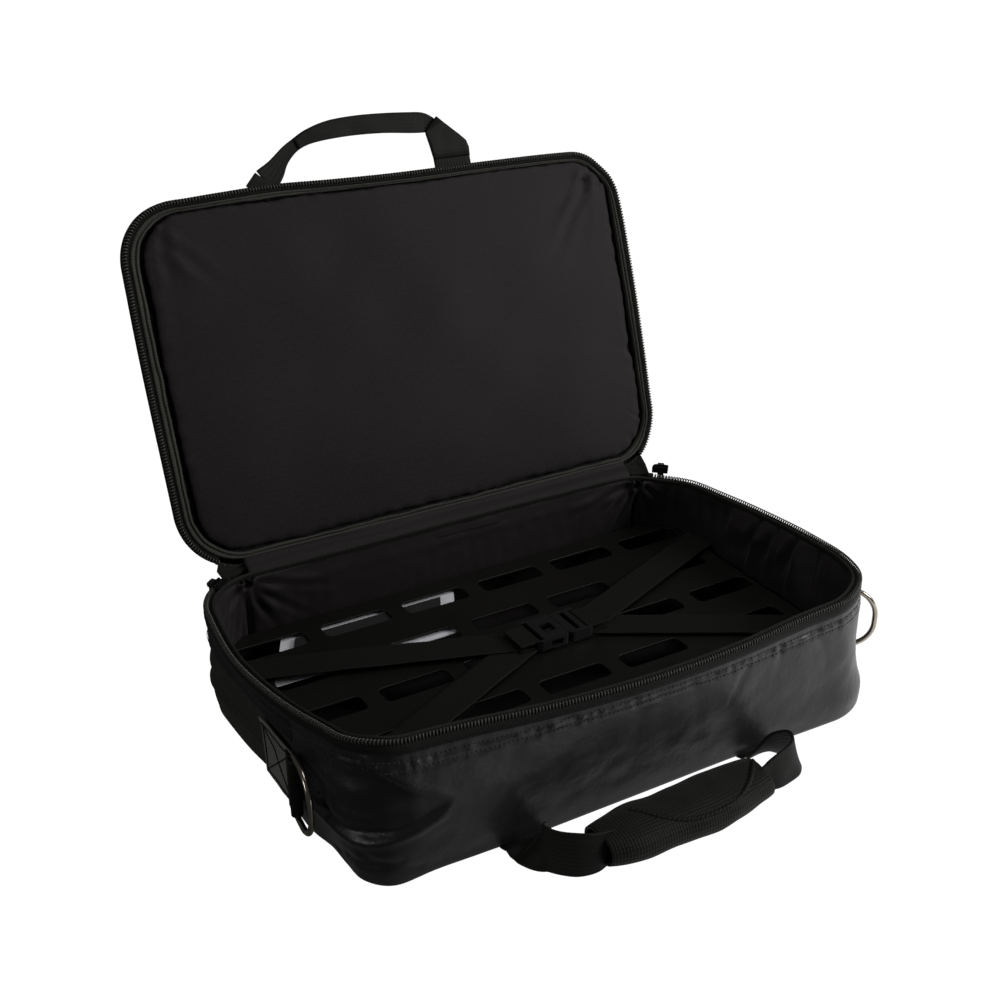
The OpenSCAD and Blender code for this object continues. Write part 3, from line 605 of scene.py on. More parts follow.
def metal(name, dark, light, roughness, scratch=0.9):
    """Plated or brushed metal with faint scratches, `scratch` mm apart."""
    made, tree, surface = shader(name, Metallic=1.0, Roughness=roughness)
    source = add(tree, "ShaderNodeTexCoord")
    stretch = add(tree, "ShaderNodeMapping", {"Vector": source.outputs["Object"], "Scale": (1, 1, 0.15)})
    lines = noise(tree, stretch.outputs["Vector"], 1 / (scratch * MM), 5.0)
    tint(tree, surface, lines, dark, light)
    vary_roughness(tree, surface, lines, roughness * 0.7, roughness * 1.5)
    return made


def powder_coat():
    """Satin powder coat on the aluminium board: fine orange peel, dust in large random patches."""
    made, tree, surface = shader("powder_coat", Roughness=0.46, IOR=1.5, Specular_IOR_Level=0.3)
    source = add(tree, "ShaderNodeTexCoord")
    peel = noise(tree, source.outputs["Object"], 700.0)
    dust = noise(tree, source.outputs["Object"], 14.0, 5.0)
    tint(tree, surface, dust, "#080806", "#12110e")
    raise_bump(tree, surface, peel, 0.06, 0.6)
    vary_roughness(tree, surface, dust, 0.4, 0.56)
    return made


# Real yarns of the shell are 0.7 mm apart; 2.2 mm is as fine as shows
CORDURA = fabric("coarse_nylon", "#070706", "#403f39", 0.6, (2.2, 2.2), depth=0.3, turn=math.radians(45))
BAND = fabric("plain_nylon", "#101011", "#1e1e20", 0.5, (1.6, 1.6), depth=0.1)
TAFFETA = satin_nylon()
LINING = fabric(
    "lining_nylon", "#020101", "#2b2526", 0.6, (1.6, 1.6), depth=0.05, sheen=0.08, grime=90.0, weave_shade=0.03,
    grain=0.6, slub=0.8,
)
# Painted light: a lighter copy of the rim's grosgrain, for the lid's binding where light from above falls
LIT_GROSGRAIN = fabric("grosgrain", "#1c1c19", "#4a4943", 0.6, (2.4, 1.6), depth=0.2)
RIM = fabric("rim_grosgrain", "#0b0b0a", "#23231f", 0.6, (2.4, 1.6), depth=0.2)
TAPE = fabric("zip_tape_twill", "#040403", "#12120f", 0.66, (1.8, 1.2), depth=0.2, turn=math.radians(30))
COIL = coil_nylon()
THREAD = fabric(
    "sewing_thread", "#1f1f20", "#38383a", 0.5, (0.8, 0.8), depth=0.05, sheen=0.1, grime=9.0, mapped=False
)
WEBBING = webbing("polypropylene_webbing", "#030302", "#12110d")
GRIP = fabric("ballistic_nylon", "#050504", "#1c1b17", 0.6, (2.4, 2.4), depth=0.35)
PATCH = fabric("grey_patch", "#565653", "#8c8c88", 0.42, (1.8, 1.8), depth=0.1, gloss=0.4)
DARK_THREAD = fabric(
    "dark_thread", "#060606", "#141414", 0.5, (0.8, 0.8), depth=0.05, sheen=0.1, grime=9.0, mapped=False
)
NICKEL = metal("nickel_plate", "#8d857a", "#bdb6aa", 0.17)
GUNMETAL = metal("gunmetal", "#3a3a3c", "#5a5a5c", 0.32)
BLACK_STEEL = metal("black_steel", "#202022", "#3a3a3c", 0.35)
POWDER = powder_coat()
ACETAL = moulded("acetal_plastic", "#111111", "#1c1c1b", 0.38)
RUBBER = moulded("rubber", "#0e0e0e", "#181818", 0.7)
HOOK = moulded("hook_tape_pile", "#0c0c0c", "#1c1c1c", 0.8, 2.0)
LINER = moulded("release_paper", "#dcdce2", "#f2f2f6", 0.42, 4.0)


def dress(made, material, body, replaced=()):
    """Gives a piece its material, body and the solids that it stands for."""
    made.data.materials.clear()
    made.data.materials.append(material)
    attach(made, body)
    if replaced:
        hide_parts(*replaced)
    return made


# ---------- rows of zip turns and stitches, by geometry nodes ----------


def row_tree(name, material, shape):
    """Tree that sets a small shape along a path, turned with it. Sizes are named inputs."""
    tree = bpy.data.node_groups.new(name, "GeometryNodeTree")
    tree.interface.new_socket("Geometry", in_out="INPUT", socket_type="NodeSocketGeometry")
    for label in ("Spacing", "Length", "Width", "Thickness"):
        tree.interface.new_socket(label, in_out="INPUT", socket_type="NodeSocketFloat")
    tree.interface.new_socket("Geometry", in_out="OUTPUT", socket_type="NodeSocketGeometry")
    sizes = add(tree, "NodeGroupInput").outputs
    path = add(tree, "GeometryNodeMeshToCurve", {"Mesh": sizes["Geometry"]})
    points = add(
        tree, "GeometryNodeResampleCurve",
        {"Curve": path.outputs[0], "Length": sizes["Spacing"]}, mode="LENGTH",
    )
    facing = add(tree, "GeometryNodeInputNamedAttribute", {"Name": "outward"}, data_type="FLOAT_VECTOR")
    turn = add(
        tree, "FunctionNodeAxesToRotation",
        {"Primary Axis": add(tree, "GeometryNodeInputTangent").outputs[0],
         "Secondary Axis": facing.outputs[0]},
        primary_axis="X", secondary_axis="Y",
    )
    thing = shape(tree, sizes)
    placed = add(
        tree, "GeometryNodeInstanceOnPoints",
        {"Points": points.outputs[0], "Instance": thing, "Rotation": turn.outputs[0]},
    )
    real = add(tree, "GeometryNodeRealizeInstances", {0: placed.outputs[0]})
    smooth = add(tree, "GeometryNodeSetShadeSmooth", {0: real.outputs[0]})
    dyed = add(tree, "GeometryNodeSetMaterial", {0: smooth.outputs[0], "Material": material})
    add(tree, "NodeGroupOutput", {0: dyed.outputs[0]})
    return tree


def coil_turn(tree, sizes):
    """One turn of the zip's coil: an oval ring of wire that stands across the tape."""
    ring = add(tree, "GeometryNodeCurvePrimitiveCircle", {"Resolution": 9, "Radius": 1.0}, mode="RADIUS")
    oval = add(tree, "ShaderNodeCombineXYZ", {0: sizes["Length"], 1: sizes["Width"], 2: 1.0})
    stood = add(
        tree, "GeometryNodeTransform",
        {
            "Geometry": ring.outputs[0], "Scale": oval.outputs[0],
            "Rotation": (0, math.radians(90), math.radians(14)),
        },
    )
    wire_inputs = {"Resolution": 5, "Radius": sizes["Thickness"]}
    wire = add(tree, "GeometryNodeCurvePrimitiveCircle", wire_inputs, mode="RADIUS")
    return add(tree, "GeometryNodeCurveToMesh", {0: stood.outputs[0], 1: wire.outputs[0]}).outputs[0]


def stitch(tree, sizes):
    """One stitch of thread: a short flat bar with sloping ends."""
    bar = add(
        tree, "GeometryNodeMeshCylinder",
        {"Vertices": 6, "Radius": sizes["Thickness"], "Depth": sizes["Length"]}, fill_type="TRIANGLE_FAN",
    )
    squash = add(tree, "ShaderNodeCombineXYZ", {0: 1.0, 1: sizes["Width"], 2: 1.0})
    return add(
        tree, "GeometryNodeTransform",
        {"Geometry": bar.outputs[0], "Rotation": (0, math.radians(90), 0), "Scale": squash.outputs[0]},
    ).outputs[0]


COIL_TREE = row_tree("zip_coil_turns", COIL, coil_turn)
STITCH_TREE = row_tree("stitches", THREAD, stitch)
DARK_STITCH_TREE = row_tree("dark_stitches", DARK_THREAD, stitch)


def row(name, tree, paths, sizes, body, slot, replaced=()):
    """Sets a tree's shape along paths of points and outward ways.

    Sizes are spacing, length, width and thickness in mm; a stitch's width is a share of its thickness."""
    points, edges, ways = [], [], []
    for path, way in paths:
        first = len(points)
        points += (np.asarray(path) * MM).tolist()
        ways += np.broadcast_to(way, np.shape(path)).tolist()
        edges += [(first + i, first + i + 1) for i in range(len(path) - 1)]
    mesh = bpy.data.meshes.new(name)
    mesh.from_pydata(points, edges, [])
    attribute = mesh.attributes.new("outward", "FLOAT_VECTOR", "POINT")
    attribute.data.foreach_set("vector", np.asarray(ways, np.float32).ravel())
    carrier = new_object(name + "_path", mesh)
    nodes = carrier.modifiers.new("row", "NODES")
    nodes.node_group = tree
    values = dict(zip(("Spacing", "Length", "Width", "Thickness"), sizes))
    for item in tree.interface.items_tree:
        if item.in_out == "INPUT" and item.name in values:
            share = item.name == "Width" and tree is not COIL_TREE
            nodes[item.identifier] = values[item.name] * (1.0 if share else MM)
    made = plain_mesh(carrier, name)
    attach(made, body)
    if replaced:
        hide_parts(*replaced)


# ---------- stage, light and camera ----------

# Strength of the surroundings, and of the floor's painted glow, strongest on its right, which shows only in
# gloss and bounce
AMBIENT = 0.055
FLOOR_PAINTED_GLOW = 3.0


def make_stage():
    """Plain white floor and surroundings that keep only a faint shadow; the floor also has a painted glow
    seen in gloss and bounce.
    """
    floor = cloth_grid("floor", [[(-6000, -6000, 0), (6000, -6000, 0)], [(-6000, 6000, 0), (6000, 6000, 0)]])
    made, tree, surface = shader("white_floor", Roughness=0.9)
    surface.inputs["Base Color"].default_value = linear("#8c8c8c")
    ray = add(tree, "ShaderNodeLightPath")
    # Painted light: the satin front mirrors the floor, whose glow in gloss and bounce grows from left to
    # right to stand in for light from the right
    source = add(tree, "ShaderNodeTexCoord")
    across = add(tree, "ShaderNodeSeparateXYZ", {0: source.outputs["Object"]})
    painted_glow = add(tree, "ShaderNodeMapRange", {0: across.outputs["X"], 1: -0.27, 2: 0.85, 3: 0.01, 4: FLOOR_PAINTED_GLOW})
    level = add(
        tree, "ShaderNodeMix", {0: ray.outputs["Is Camera Ray"], 2: painted_glow.outputs[0], 3: 1.1},
    )
    white = add(tree, "ShaderNodeEmission", {"Color": (1, 1, 1, 1), "Strength": level.outputs[0]})
    share = add(tree, "ShaderNodeMapRange", {0: ray.outputs["Is Camera Ray"], 3: 0.6, 4: 0.95})
    mix = add(tree, "ShaderNodeMixShader", {0: share.outputs[0], 1: surface.outputs[0], 2: white.outputs[0]})
    tree.links.new(mix.outputs[0], tree.nodes["Material Output"].inputs["Surface"])
    floor.data.materials.append(made)
    floor.data.transform(Matrix.Translation((0, 0, -0.0004)))
    world = bpy.data.worlds.new("studio")
    bpy.context.scene.world = world
    world.use_nodes = True
    tree = world.node_tree
    ray = add(tree, "ShaderNodeLightPath")
    level = add(tree, "ShaderNodeMapRange", {0: ray.outputs["Is Camera Ray"], 3: AMBIENT, 4: 1.0})
    tree.nodes["Background"].inputs["Color"].default_value = (1, 1, 1, 1)
    tree.links.new(level.outputs[0], tree.nodes["Background"].inputs["Strength"])


def lamp(name, place, size, watts):
    light = bpy.data.lights.new(name, "AREA")
    light.shape = "DISK"
    light.size = size
    light.energy = watts
    made = bpy.data.objects.new(name, light)
    bpy.context.scene.collection.objects.link(made)
    made.location = place
    made.rotation_euler = (Vector((0, 0, 0.1)) - Vector(place)).to_track_quat("-Z", "Y").to_euler()
    return made


def make_camera():
    """The photograph's own place and lens, fitted to the board, rim and lid."""
    data = bpy.data.cameras.new("camera")
    data.sensor_width = 36
    data.lens = 51.69
    made = bpy.data.objects.new("camera", data)
    bpy.context.scene.collection.objects.link(made)
    right = Vector((0.86140, -0.50793, 0.00254))
    back = Vector((-0.45666, -0.77224, 0.44172))
    above = back.cross(right)
    turn = Matrix((right, above, back)).transposed()
    made.matrix_world = Matrix.Translation(Vector((-542.7, -853.6, 682.2)) * MM) @ turn.to_4x4()
    bpy.context.scene.camera = made


make_camera()
make_stage()
lamp("key", (2.1, -1.5, 1.5), 1.3, 38)
lamp("top", (0.5, -0.2, 2.4), 1.0, 9)
lamp("left", (-2.2, -0.2, 0.9), 0.8, 6)
bpy.context.scene.view_settings.view_transform = "Standard"

# ---------- base: outer shell ----------

ALL_S = np.linspace(0, LOOP, 560, endpoint=False)
# Heights of the seam under the zip and of the end bands' lower edge; radius at the bottom
SEAM_Z = 89.0
BAND_Z = 72.0
BOTTOM_R = 5.0
# The wall cloth is meshed finer above this height, where the seams gather it
FINE_Z = 80.0
WIDE_MESH, FINE_MESH = 2.2, 1.2


def front_dents(s, z):
    """Creases and hollows of the slack front: a kite-shaped dent by the left corner."""
    x = np.mod(s + LOOP / 2, LOOP) - LOOP / 2
    # The kite: two straight edges that meet in a tip; the cloth falls away behind them
    tip_x, tip_z = -161, 61
    back = np.clip(tip_x - x, 0, 90)
    top, low = tip_z + 0.42 * back, tip_z - 0.55 * back + 0.003 * back**2
    inside = step(np.minimum(top - z, z - low), 0, 3.6) * step(back, 0, 5)
    hollow = -inside * (1.2 + 3.2 * step(back, 0, 45)) * (1 - 0.5 * step(back, 60, 90))
    streak = 0.7 * inside * np.sin((z - tip_z - 0.05 * back) / 3.1) * step(back, 5, 30)
    lip = 1.5 * bell(z - top, 2, 3) * step(back, 0, 14) + 1.7 * bell(low - z, 2.4, 3.4) * step(back, 0, 14)
    # Cloth that sags over the bottom seam at the corner
    toe, _ = to_line(x, z, (-250, 16), (-205, 22))
    toe_low, _ = to_line(x, z, (-235, 26), (-190, 12))
    pinch = -1.8 * bell(toe, 0, 3.0) - 1.3 * bell(toe_low, 0, 2.5)
    # Long soft folds that hang from the seam on the right
    pulls = 0
    for start, stop, depth, wide in (
        ((92, 84), (77, 58), 1.3, 4), ((128, 86), (120, 62), 0.8, 4), ((44, 84), (48, 50), 0.7, 6),
        ((-7, 84), (-10, 48), 0.6, 7), ((-110, 84), (-128, 60), 0.8, 6), ((170, 84), (176, 56), 0.7, 5),
    ):
        away, share = to_line(x, z, start, stop)
        pulls = pulls - depth * bell(away, 0, wide) * (1 - 0.6 * share)
    belly = -1.0 * bell(z, 26, 16) * bell(x, 10, 150)
    return hollow + streak + lip + pinch + pulls + belly


def wall_swell(s, z):
    """How far the outer cloth stands out of its flat wall."""
    s, z = np.broadcast_arrays(s, z)
    place = np.stack([s, z * 1.3], -1)
    free = step(z, 2, 22) * (1 - step(z, 84, 96))
    x = np.mod(s + LOOP / 2, LOOP) - LOOP / 2
    front = bell(x, 0, 235)
    out = free * (
        1.6 - 2.4 * bell(x, 0, 105) * bell(z, 48, 34) + (0.8 - 0.3 * front) * folds(place, 105, 3)
        + 0.22 * folds(place, 30, 5)
    )
    out += front_dents(s, z) * step(z, 0, 10) * (1 - step(z, 88, 97))
    # Gathers that the two rows of stitches pull into the cloth
    near = bell(z, SEAM_Z - 1.5, 4.0)
    gather = folds(np.stack([s, z * 0.25], -1), 11, 9, 20)
    out += (
        near * (0.35 + 0.55 * front) * gather
        - 0.7 * bell(z, SEAM_Z + 1, 1.3) - 0.7 * bell(z, SEAM_Z - 4, 1.3)
    )
    # Ends: a raised band above the coarse cloth
    ends = ((s > S_RIGHT_RING) & (s < S_LEFT_RING)).astype(float)
    out += ends * (0.8 * step(z, BAND_Z - 1.5, BAND_Z + 1.5) - 1.0 * bell(z, BAND_Z - 1.5, 1.6))
    return out


def wall_piece(name, s0, s1, z0, z1, material, replaced=()):
    """Outer wall cloth between two arc lengths and two heights, rounded where it meets the bottom."""
    turn = np.radians(np.linspace(0, 90, 8)) if z0 < BOTTOM_R else np.zeros(0)
    low, high = max(z0, BOTTOM_R), min(z1, FINE_Z)
    rise = np.linspace(low, high, max(2, int((high - low) / WIDE_MESH)))
    flat = [*(rise[1:] if len(turn) else rise)]
    if z1 > FINE_Z:
        flat += [*np.linspace(FINE_Z, z1, max(2, int((z1 - FINE_Z) / FINE_MESH)))[1:]]
    heights = np.array([*(BOTTOM_R * (1 - np.cos(turn)) + 0.05), *flat])
    insets = np.array([*(BOTTOM_R * (1 - np.sin(turn))), *([0.0] * len(flat))])
    along = np.linspace(s0, s1, int((s1 - s0) / WIDE_MESH) + 2)
    S, I, Z = section_grid(along, np.stack([insets, heights], -1))
    made = cloth_grid(name, base_at(S, I - wall_swell(S, Z), Z))
    thicken(made, 0.8)
    return dress(made, material, "base", replaced)


TOP_OF_CLOTH = 97.5
wall_piece("front_cloth", S_LEFT_RING - LOOP, S_RIGHT_RING, 0, TOP_OF_CLOTH, TAFFETA, ["base_front_panel"])
wall_piece("left_cloth", S_BACK_END, S_LEFT_RING, 0, BAND_Z, CORDURA, ["base_left_panel"])
wall_piece("right_cloth", S_RIGHT_RING, S_BACK, 0, BAND_Z, CORDURA, ["base_right_panel"])
wall_piece("back_cloth", S_BACK, S_BACK_END, 0, TOP_OF_CLOTH + 2.5, CORDURA, ["base_back_panel"])
wall_piece("left_band", S_BACK_END, S_LEFT_RING, BAND_Z - 0.4, TOP_OF_CLOTH, BAND)
wall_piece("right_band", S_RIGHT_RING, S_BACK, BAND_Z - 0.4, TOP_OF_CLOTH, BAND)


def base_bottom():
    """Bottom cloth, flat on the ground."""
    edge = base_at(ALL_S, BOTTOM_R, 0.0)[:, :2]
    rows = [
        np.concatenate([to_spine(edge, k), np.full((len(edge), 1), 0.05)], 1) for k in (1, 0.9, 0.6, 0.3, 0)
    ]
    made = cloth_grid("bottom_cloth", rows, closed=True, flat_map=True, flip=True)
    weld(made)
    thicken(made, 0.8)
    return dress(made, CORDURA, "base", ["base_bottom_panel"])


base_bottom()

# ---------- base: rim, zip and lining ----------

# Zip runs from one back corner round the front to the other
ZIP_HALF = S_BACK - (QUARTER - ZIP_END_S)
ZIP_S = np.linspace(-ZIP_HALF, ZIP_HALF, 520)


def strip(name, s, section, place, material, body, replaced, closed=False, flip=False):
    """Cloth band along the outline, its section a list of (inset, z)."""
    made = cloth_grid(name, place(*section_grid(s, section)), closed=closed, flip=flip)
    thicken(made, 0.6)
    return dress(made, material, body, replaced)


strip(
    "base_tape", ZIP_S,
    [(-0.9, 94.5), (-0.9, 97.5), (-0.5, 99.8), (0.2, 100.9), (1.6, 101.2), (3.2, 101.4), (5.6, 101.5)],
    base_at, TAPE, "base", ["base_zip_tape"],
)


def binding_section(top, inner, width=2.8, down=5.0):
    """Half-round fold of binding over an edge, its section from outside to inside."""
    half = width / 2
    middle = inner - half
    arc = [(middle - half * math.cos(a), top + half * math.sin(a)) for a in np.linspace(0, math.pi, 9)]
    return [(middle - half, top - 1.5)] + arc + [(middle + half, top - down)]


strip(
    "base_binding", ALL_S, binding_section(101.6, 8.6), base_at, RIM, "base", ["base_rim_binding"],
    closed=True,
)
row(
    "base_coil", COIL_TREE, [(base_at(ZIP_S, COIL_IN, COIL_Z), outward(ZIP_S))], (2.6, 1.9, 1.7, 0.6), "base",
    "zip_coil", ["base_zip_coil"],
)


def on_shell(s, z):
    """Line just under the outer cloth's skin at height z, and its outward ways."""
    z = np.full_like(s, z)
    return base_at(s, -wall_swell(s, z) - 0.15, z), outward(s)


def shell_stitches():
    """Two rows of stitches under the zip, and three on each end's band."""
    front = np.linspace(S_LEFT_RING - LOOP, S_RIGHT_RING, 500)
    paths = [on_shell(front, z) for z in (SEAM_Z + 1.0, SEAM_Z - 4.0)]
    for low, high in ((S_BACK_END, S_LEFT_RING), (S_RIGHT_RING, S_BACK)):
        paths += [on_shell(np.linspace(low, high, 200), z) for z in (BAND_Z + 2.2, 84.0, 92.0)]
    row("shell_stitches", STITCH_TREE, paths, (3.6, 2.6, 0.5, 0.5), "base", "shell_grey")


shell_stitches()


def pleats(s, gap, seed):
    """Uneven rounded ridges with tight creases between them, about `gap` apart."""
    warp = s + 0.35 * gap * folds(np.stack([s, 0 * s], -1), 3 * gap, seed)
    return 1 - 2 * np.abs(np.sin(math.pi * warp / gap)) ** 0.7


def lining_puff(s, z):
    """How far the wall lining swells into the bag, with folds that hang from the rim."""
    s, z = np.broadcast_arrays(s, z)
    body = np.sin(np.clip((z - 8) / 91, 0, 1) * math.pi) ** 0.6
    lean = s + 0.18 * (z - 50) * folds(np.stack([s, 0 * s], -1), 160, 20)
    soft = folds(np.stack([lean, z * 0.3], -1), 70, 21, 18)
    fine = folds(np.stack([s * 1.0, z * 0.6], -1), 19, 23, 18)
    right = bell(s, S_FRONT_RIGHT + MID_Y + 15, 105)
    left = bell(s, S_BACK_LEFT + MID_Y - 40, 80)
    upper = step(z, 40, 95)
    sharp = -pleats(lean, 36, 25) * (0.45 + 0.55 * upper) + 0.35 * pleats(lean + 9, 21, 27) * upper
    large = 3.2 + (0.9 + 0.5 * left) * soft + 3.9 * right * sharp
    puff = body * (large + (0.22 + 0.5 * right + 0.45 * left) * fine)
    # Tight upright creases where the wall pieces are sewn together
    front = ((S_FRONT_RIGHT - QUARTER / 2, 2), (S_FRONT_LEFT + QUARTER / 2, 2))
    for place, deep in (front[0], (S_BACK - 8, 5.5), (S_BACK_END + 12, 5.5), front[1]):
        puff = puff - deep * body * bell(s, place, 2.8)
    # Creases that fan out from the top of both back seams
    fan = ((-95, 70, 1.8), (-70, 40, 2.4), (-40, 25, 2.6), (18, 30, 2.4), (38, 45, 2.8), (60, 70, 2.4))
    for root, turned in ((S_BACK_END + 12, 1), (S_BACK - 8, -1)):
        for ds, dz, deep in fan:
            away, share = to_line(s, z, (root, 97), (root + turned * ds, dz))
            puff = puff - deep * (1 - share) * bell(away, 0, 2.6)
            puff = puff + 0.7 * deep * (1 - share) * bell(away, 6, 3)
    # A long soft roll under the hinge
    puff = puff + (
        1.5 * bell(z, 86, 5) * step(s, S_BACK, S_BACK + 20) * (1 - step(s, S_BACK_END - 20, S_BACK_END))
    )
    extra = np.maximum(loop_value(s, RIM_LEAN), 0) * step(z, 52, 100)
    puff = puff + 0.55 * extra * right * (0.6 + sharp) * np.minimum(1, body * 1.6)
    most = 6.2 + 0.85 * extra + 2.6 * step(z, 53, 62) * np.maximum(right, bell(s, S_BACK - 20, 40))
    return np.clip(puff, -2.5, most)


def settle(made, free, slack, frames=18, pressure=1.5):
    """Lets cloth find its folds: where free is 0 it is held; slack is how much too large it is cut."""
    held = made.vertex_groups.new(name="held")
    loose = made.vertex_groups.new(name="loose")
    for index, (hold, extra) in enumerate(zip(1 - free.ravel(), slack.ravel())):
        held.add([index], float(hold), "REPLACE")
        loose.add([index], float(extra), "REPLACE")
    cloth = made.modifiers.new("settle", "CLOTH")
    rules = cloth.settings
    rules.quality, rules.mass, rules.air_damping = 6, 0.08, 4.0
    rules.tension_stiffness, rules.compression_stiffness, rules.shear_stiffness = 18, 12, 6
    rules.bending_stiffness = 0.25
    rules.vertex_group_mass, rules.pin_stiffness = "held", 1.0
    rules.vertex_group_shrink, rules.shrink_min, rules.shrink_max = "loose", 0.0, -0.10
    rules.use_pressure, rules.uniform_pressure_force = True, pressure
    rules.effector_weights.gravity = 0.0
    scene = bpy.context.scene
    for number in range(1, frames + 1):
        scene.frame_set(number)
    graph = bpy.context.evaluated_depsgraph_get()
    mesh = bpy.data.meshes.new_from_object(made.evaluated_get(graph))
    points = np.empty(3 * len(mesh.vertices))
    mesh.vertices.foreach_get("co", points)
    bpy.data.meshes.remove(mesh)
    made.modifiers.remove(cloth)
    made.vertex_groups.clear()
    scene.frame_set(1)
    return points.reshape(-1, 3) / MM


def base_lining():
    """Wall lining, its folds left to a cloth simulation, and the floor's cloth."""
    s = ALL_S
    z = np.concatenate([np.linspace(99.5, 56, 22), np.linspace(52, 12, 10), [FLOOR_Z + 1.5]])
    S, Z = np.meshgrid(s, z)
    held = loop_value(S, WAIST_LEAN) * bell(Z, 52, 28) + loop_value(S, FOOT_LEAN) * (1 - step(Z, 8, 50))
    rows = base_at(S, 8.2 + lining_puff(S, Z) + held, Z)
    made = cloth_grid("wall_lining", rows, closed=True)
    ends = step(Z, 8, 24) * (1 - step(Z, 94, 98))
    right, left = bell(S, S_FRONT_RIGHT + MID_Y + 15, 120), bell(S, S_BACK_LEFT + MID_Y, 100)
    moved = settle(made, ends, np.clip(0.15 + 0.85 * right + 0.5 * left, 0, 1)).reshape(rows.shape) - rows
    inward = -outward(S)
    deep = (moved * inward).sum(-1)
    rest = moved - deep[..., None] * inward
    rest *= np.minimum(1, 4 / np.maximum(np.linalg.norm(rest, axis=-1), 1e-6))[..., None]
    lean = 0.5 * np.maximum(loop_value(S, RIM_LEAN), 0) * step(Z, 52, 100)
    room = 6.2 + 2.6 * step(Z, 53, 62) + lean - lining_puff(S, Z)
    rows = rows + np.clip(deep, -4, np.maximum(room, 0))[..., None] * inward + rest
    made.data.vertices.foreach_set("co", (rows * MM).ravel())
    made.data.update()
    thicken(made, 0.6)
    foam = ["base_front_foam", "base_left_foam", "base_right_foam", "base_back_foam"]
    dress(made, LINING, "base", ["base_wall_lining", *foam])
    edge = outline(s, 9.0)[0]
    rows = [
        np.concatenate([to_spine(edge, k), np.full((len(s), 1), FLOOR_Z + 1.2 - 1.2 * k**8)], 1)
        for k in (1, 0.98, 0.9, 0.7, 0.45, 0.2, 0)
    ]
    floor = cloth_grid("floor_lining", rows, closed=True, flat_map=True)
    weld(floor)
    thicken(floor, 0.6)
    dress(floor, LINING, "base", ["base_floor_lining", "base_floor_pad"])


base_lining()

# ---------- lid ----------


def lid_shell():
    """Outer cloth of the lid: leaning sides, a rounded edge and a slightly puffed top."""
    s = ALL_S
    section = [
        (0.0, 107.1), (0.0, 109), (0.3, 112), (0.9, 114.5), (2.0, 117), (4.0, 119), (7.0, 119.9),
        (10.0, 120.1),
    ]
    rows = []
    for inset, z in section:
        swell = 0.35 * folds(np.stack([s, np.full_like(s, z)], -1), 30, 31)
        rows.append(lid_at(s, inset - swell * (z > 108), np.full_like(s, z)))
    edge = outline(s, 10.0 + loop_value(s, LID_DRAW))[0]
    for k in (0.96, 0.88, 0.78, 0.66, 0.54, 0.42, 0.3, 0.2, 0.1, 0.0):
        flat = to_spine(edge, k)
        puff = 120.1 + 1.4 * (1 - k**4) + 0.7 * (1 - k**6) * folds(flat, 120, 33)
        rows.append(open_lid(np.concatenate([flat, puff[:, None]], 1)))
    made = cloth_grid("lid_cloth", rows, closed=True)
    weld(made)
    thicken(made, 0.8)
    return dress(made, CORDURA, "lid", ["lid_top_panel"])


lid_shell()
strip(
    "lid_tape", ZIP_S, [(-0.7, 112), (-0.7, 108.5), (-0.4, 106.9), (1.4, 106.5), (3.2, 106.3), (5.8, 106.2)],
    lid_at, TAPE, "lid", ["lid_zip_tape"], flip=True,
)


def lid_in(s, inset):
    """Inset of the lid's edge dressing: its bands are wide at both ends, narrow front and back."""
    ends = np.clip(np.abs(outline(s)[1][..., 0]) * 1.6, 0, 1)
    return 6.0 + (inset - 6.0) * (0.62 + 0.38 * ends)


def lid_rim():
    """Binding ridge, the groove inside it and the ruffled edge of the lining; the groove wears the near-black
    tape cloth as painted shade.
    """
    s = ALL_S
    ridge = [(5.2, 108.5)]
    ridge += [(7.4 - 1.7 * math.cos(a), 106.2 - 1.5 * math.sin(a)) for a in np.linspace(0, math.pi, 9)]
    ridge += [(9.8, 106.6)]
    ridge += [(11.6 - 1.4 * math.cos(a), 106.4 - 1.2 * math.sin(a)) for a in np.linspace(0.3, math.pi, 7)]
    ridge += [(13.4, 109.0)]
    S, I, Z = section_grid(s, ridge)
    waver = 0.35 * folds(np.stack([S, I * 3], -1), 34, 40)
    made = cloth_grid("lid_binding", lid_at(S, lid_in(S, I) + waver * (I > 9), Z), closed=True, flip=True)
    thicken(made, 0.6)
    # Painted highlight: the lid's binding wears the lighter copy of the grosgrain
    dress(made, LIT_GROSGRAIN, "lid", ["lid_rim_binding"])
    groove = [(12.8, 107.5), (13.6, 110.0), (15.0, 112.4), (17.5, 113.0), (20.0, 112.4), (22.0, 111.0)]
    S, I, Z = section_grid(s, groove)
    ruffle = folds(np.stack([S, I * 2], -1), 13, 41, 20)
    made = cloth_grid("lid_gusset", lid_at(S, lid_in(S, I), Z + 0.6 * ruffle), closed=True, flip=True)
    thicken(made, 0.6)
    # Painted shade: this cloth of the groove and the lining's ruffled edge wears the near-black tape cloth,
    # darker than the lining
    dress(made, TAPE, "lid", ["lid_edge_foam", "lid_top_foam"])


lid_rim()
edge_line, inside_line = (
    open_lid(np.concatenate([outline(ZIP_S, inset)[0], np.zeros((len(ZIP_S), 1))], 1)) for inset in (0, 1)
)
row(
    "lid_coil", COIL_TREE, [(lid_at(ZIP_S, COIL_IN, np.full_like(ZIP_S, 105.8)), edge_line - inside_line)],
    (2.6, 2.2, 1.6, 0.6), "lid", "zip_coil", ["lid_zip_coil"],
)


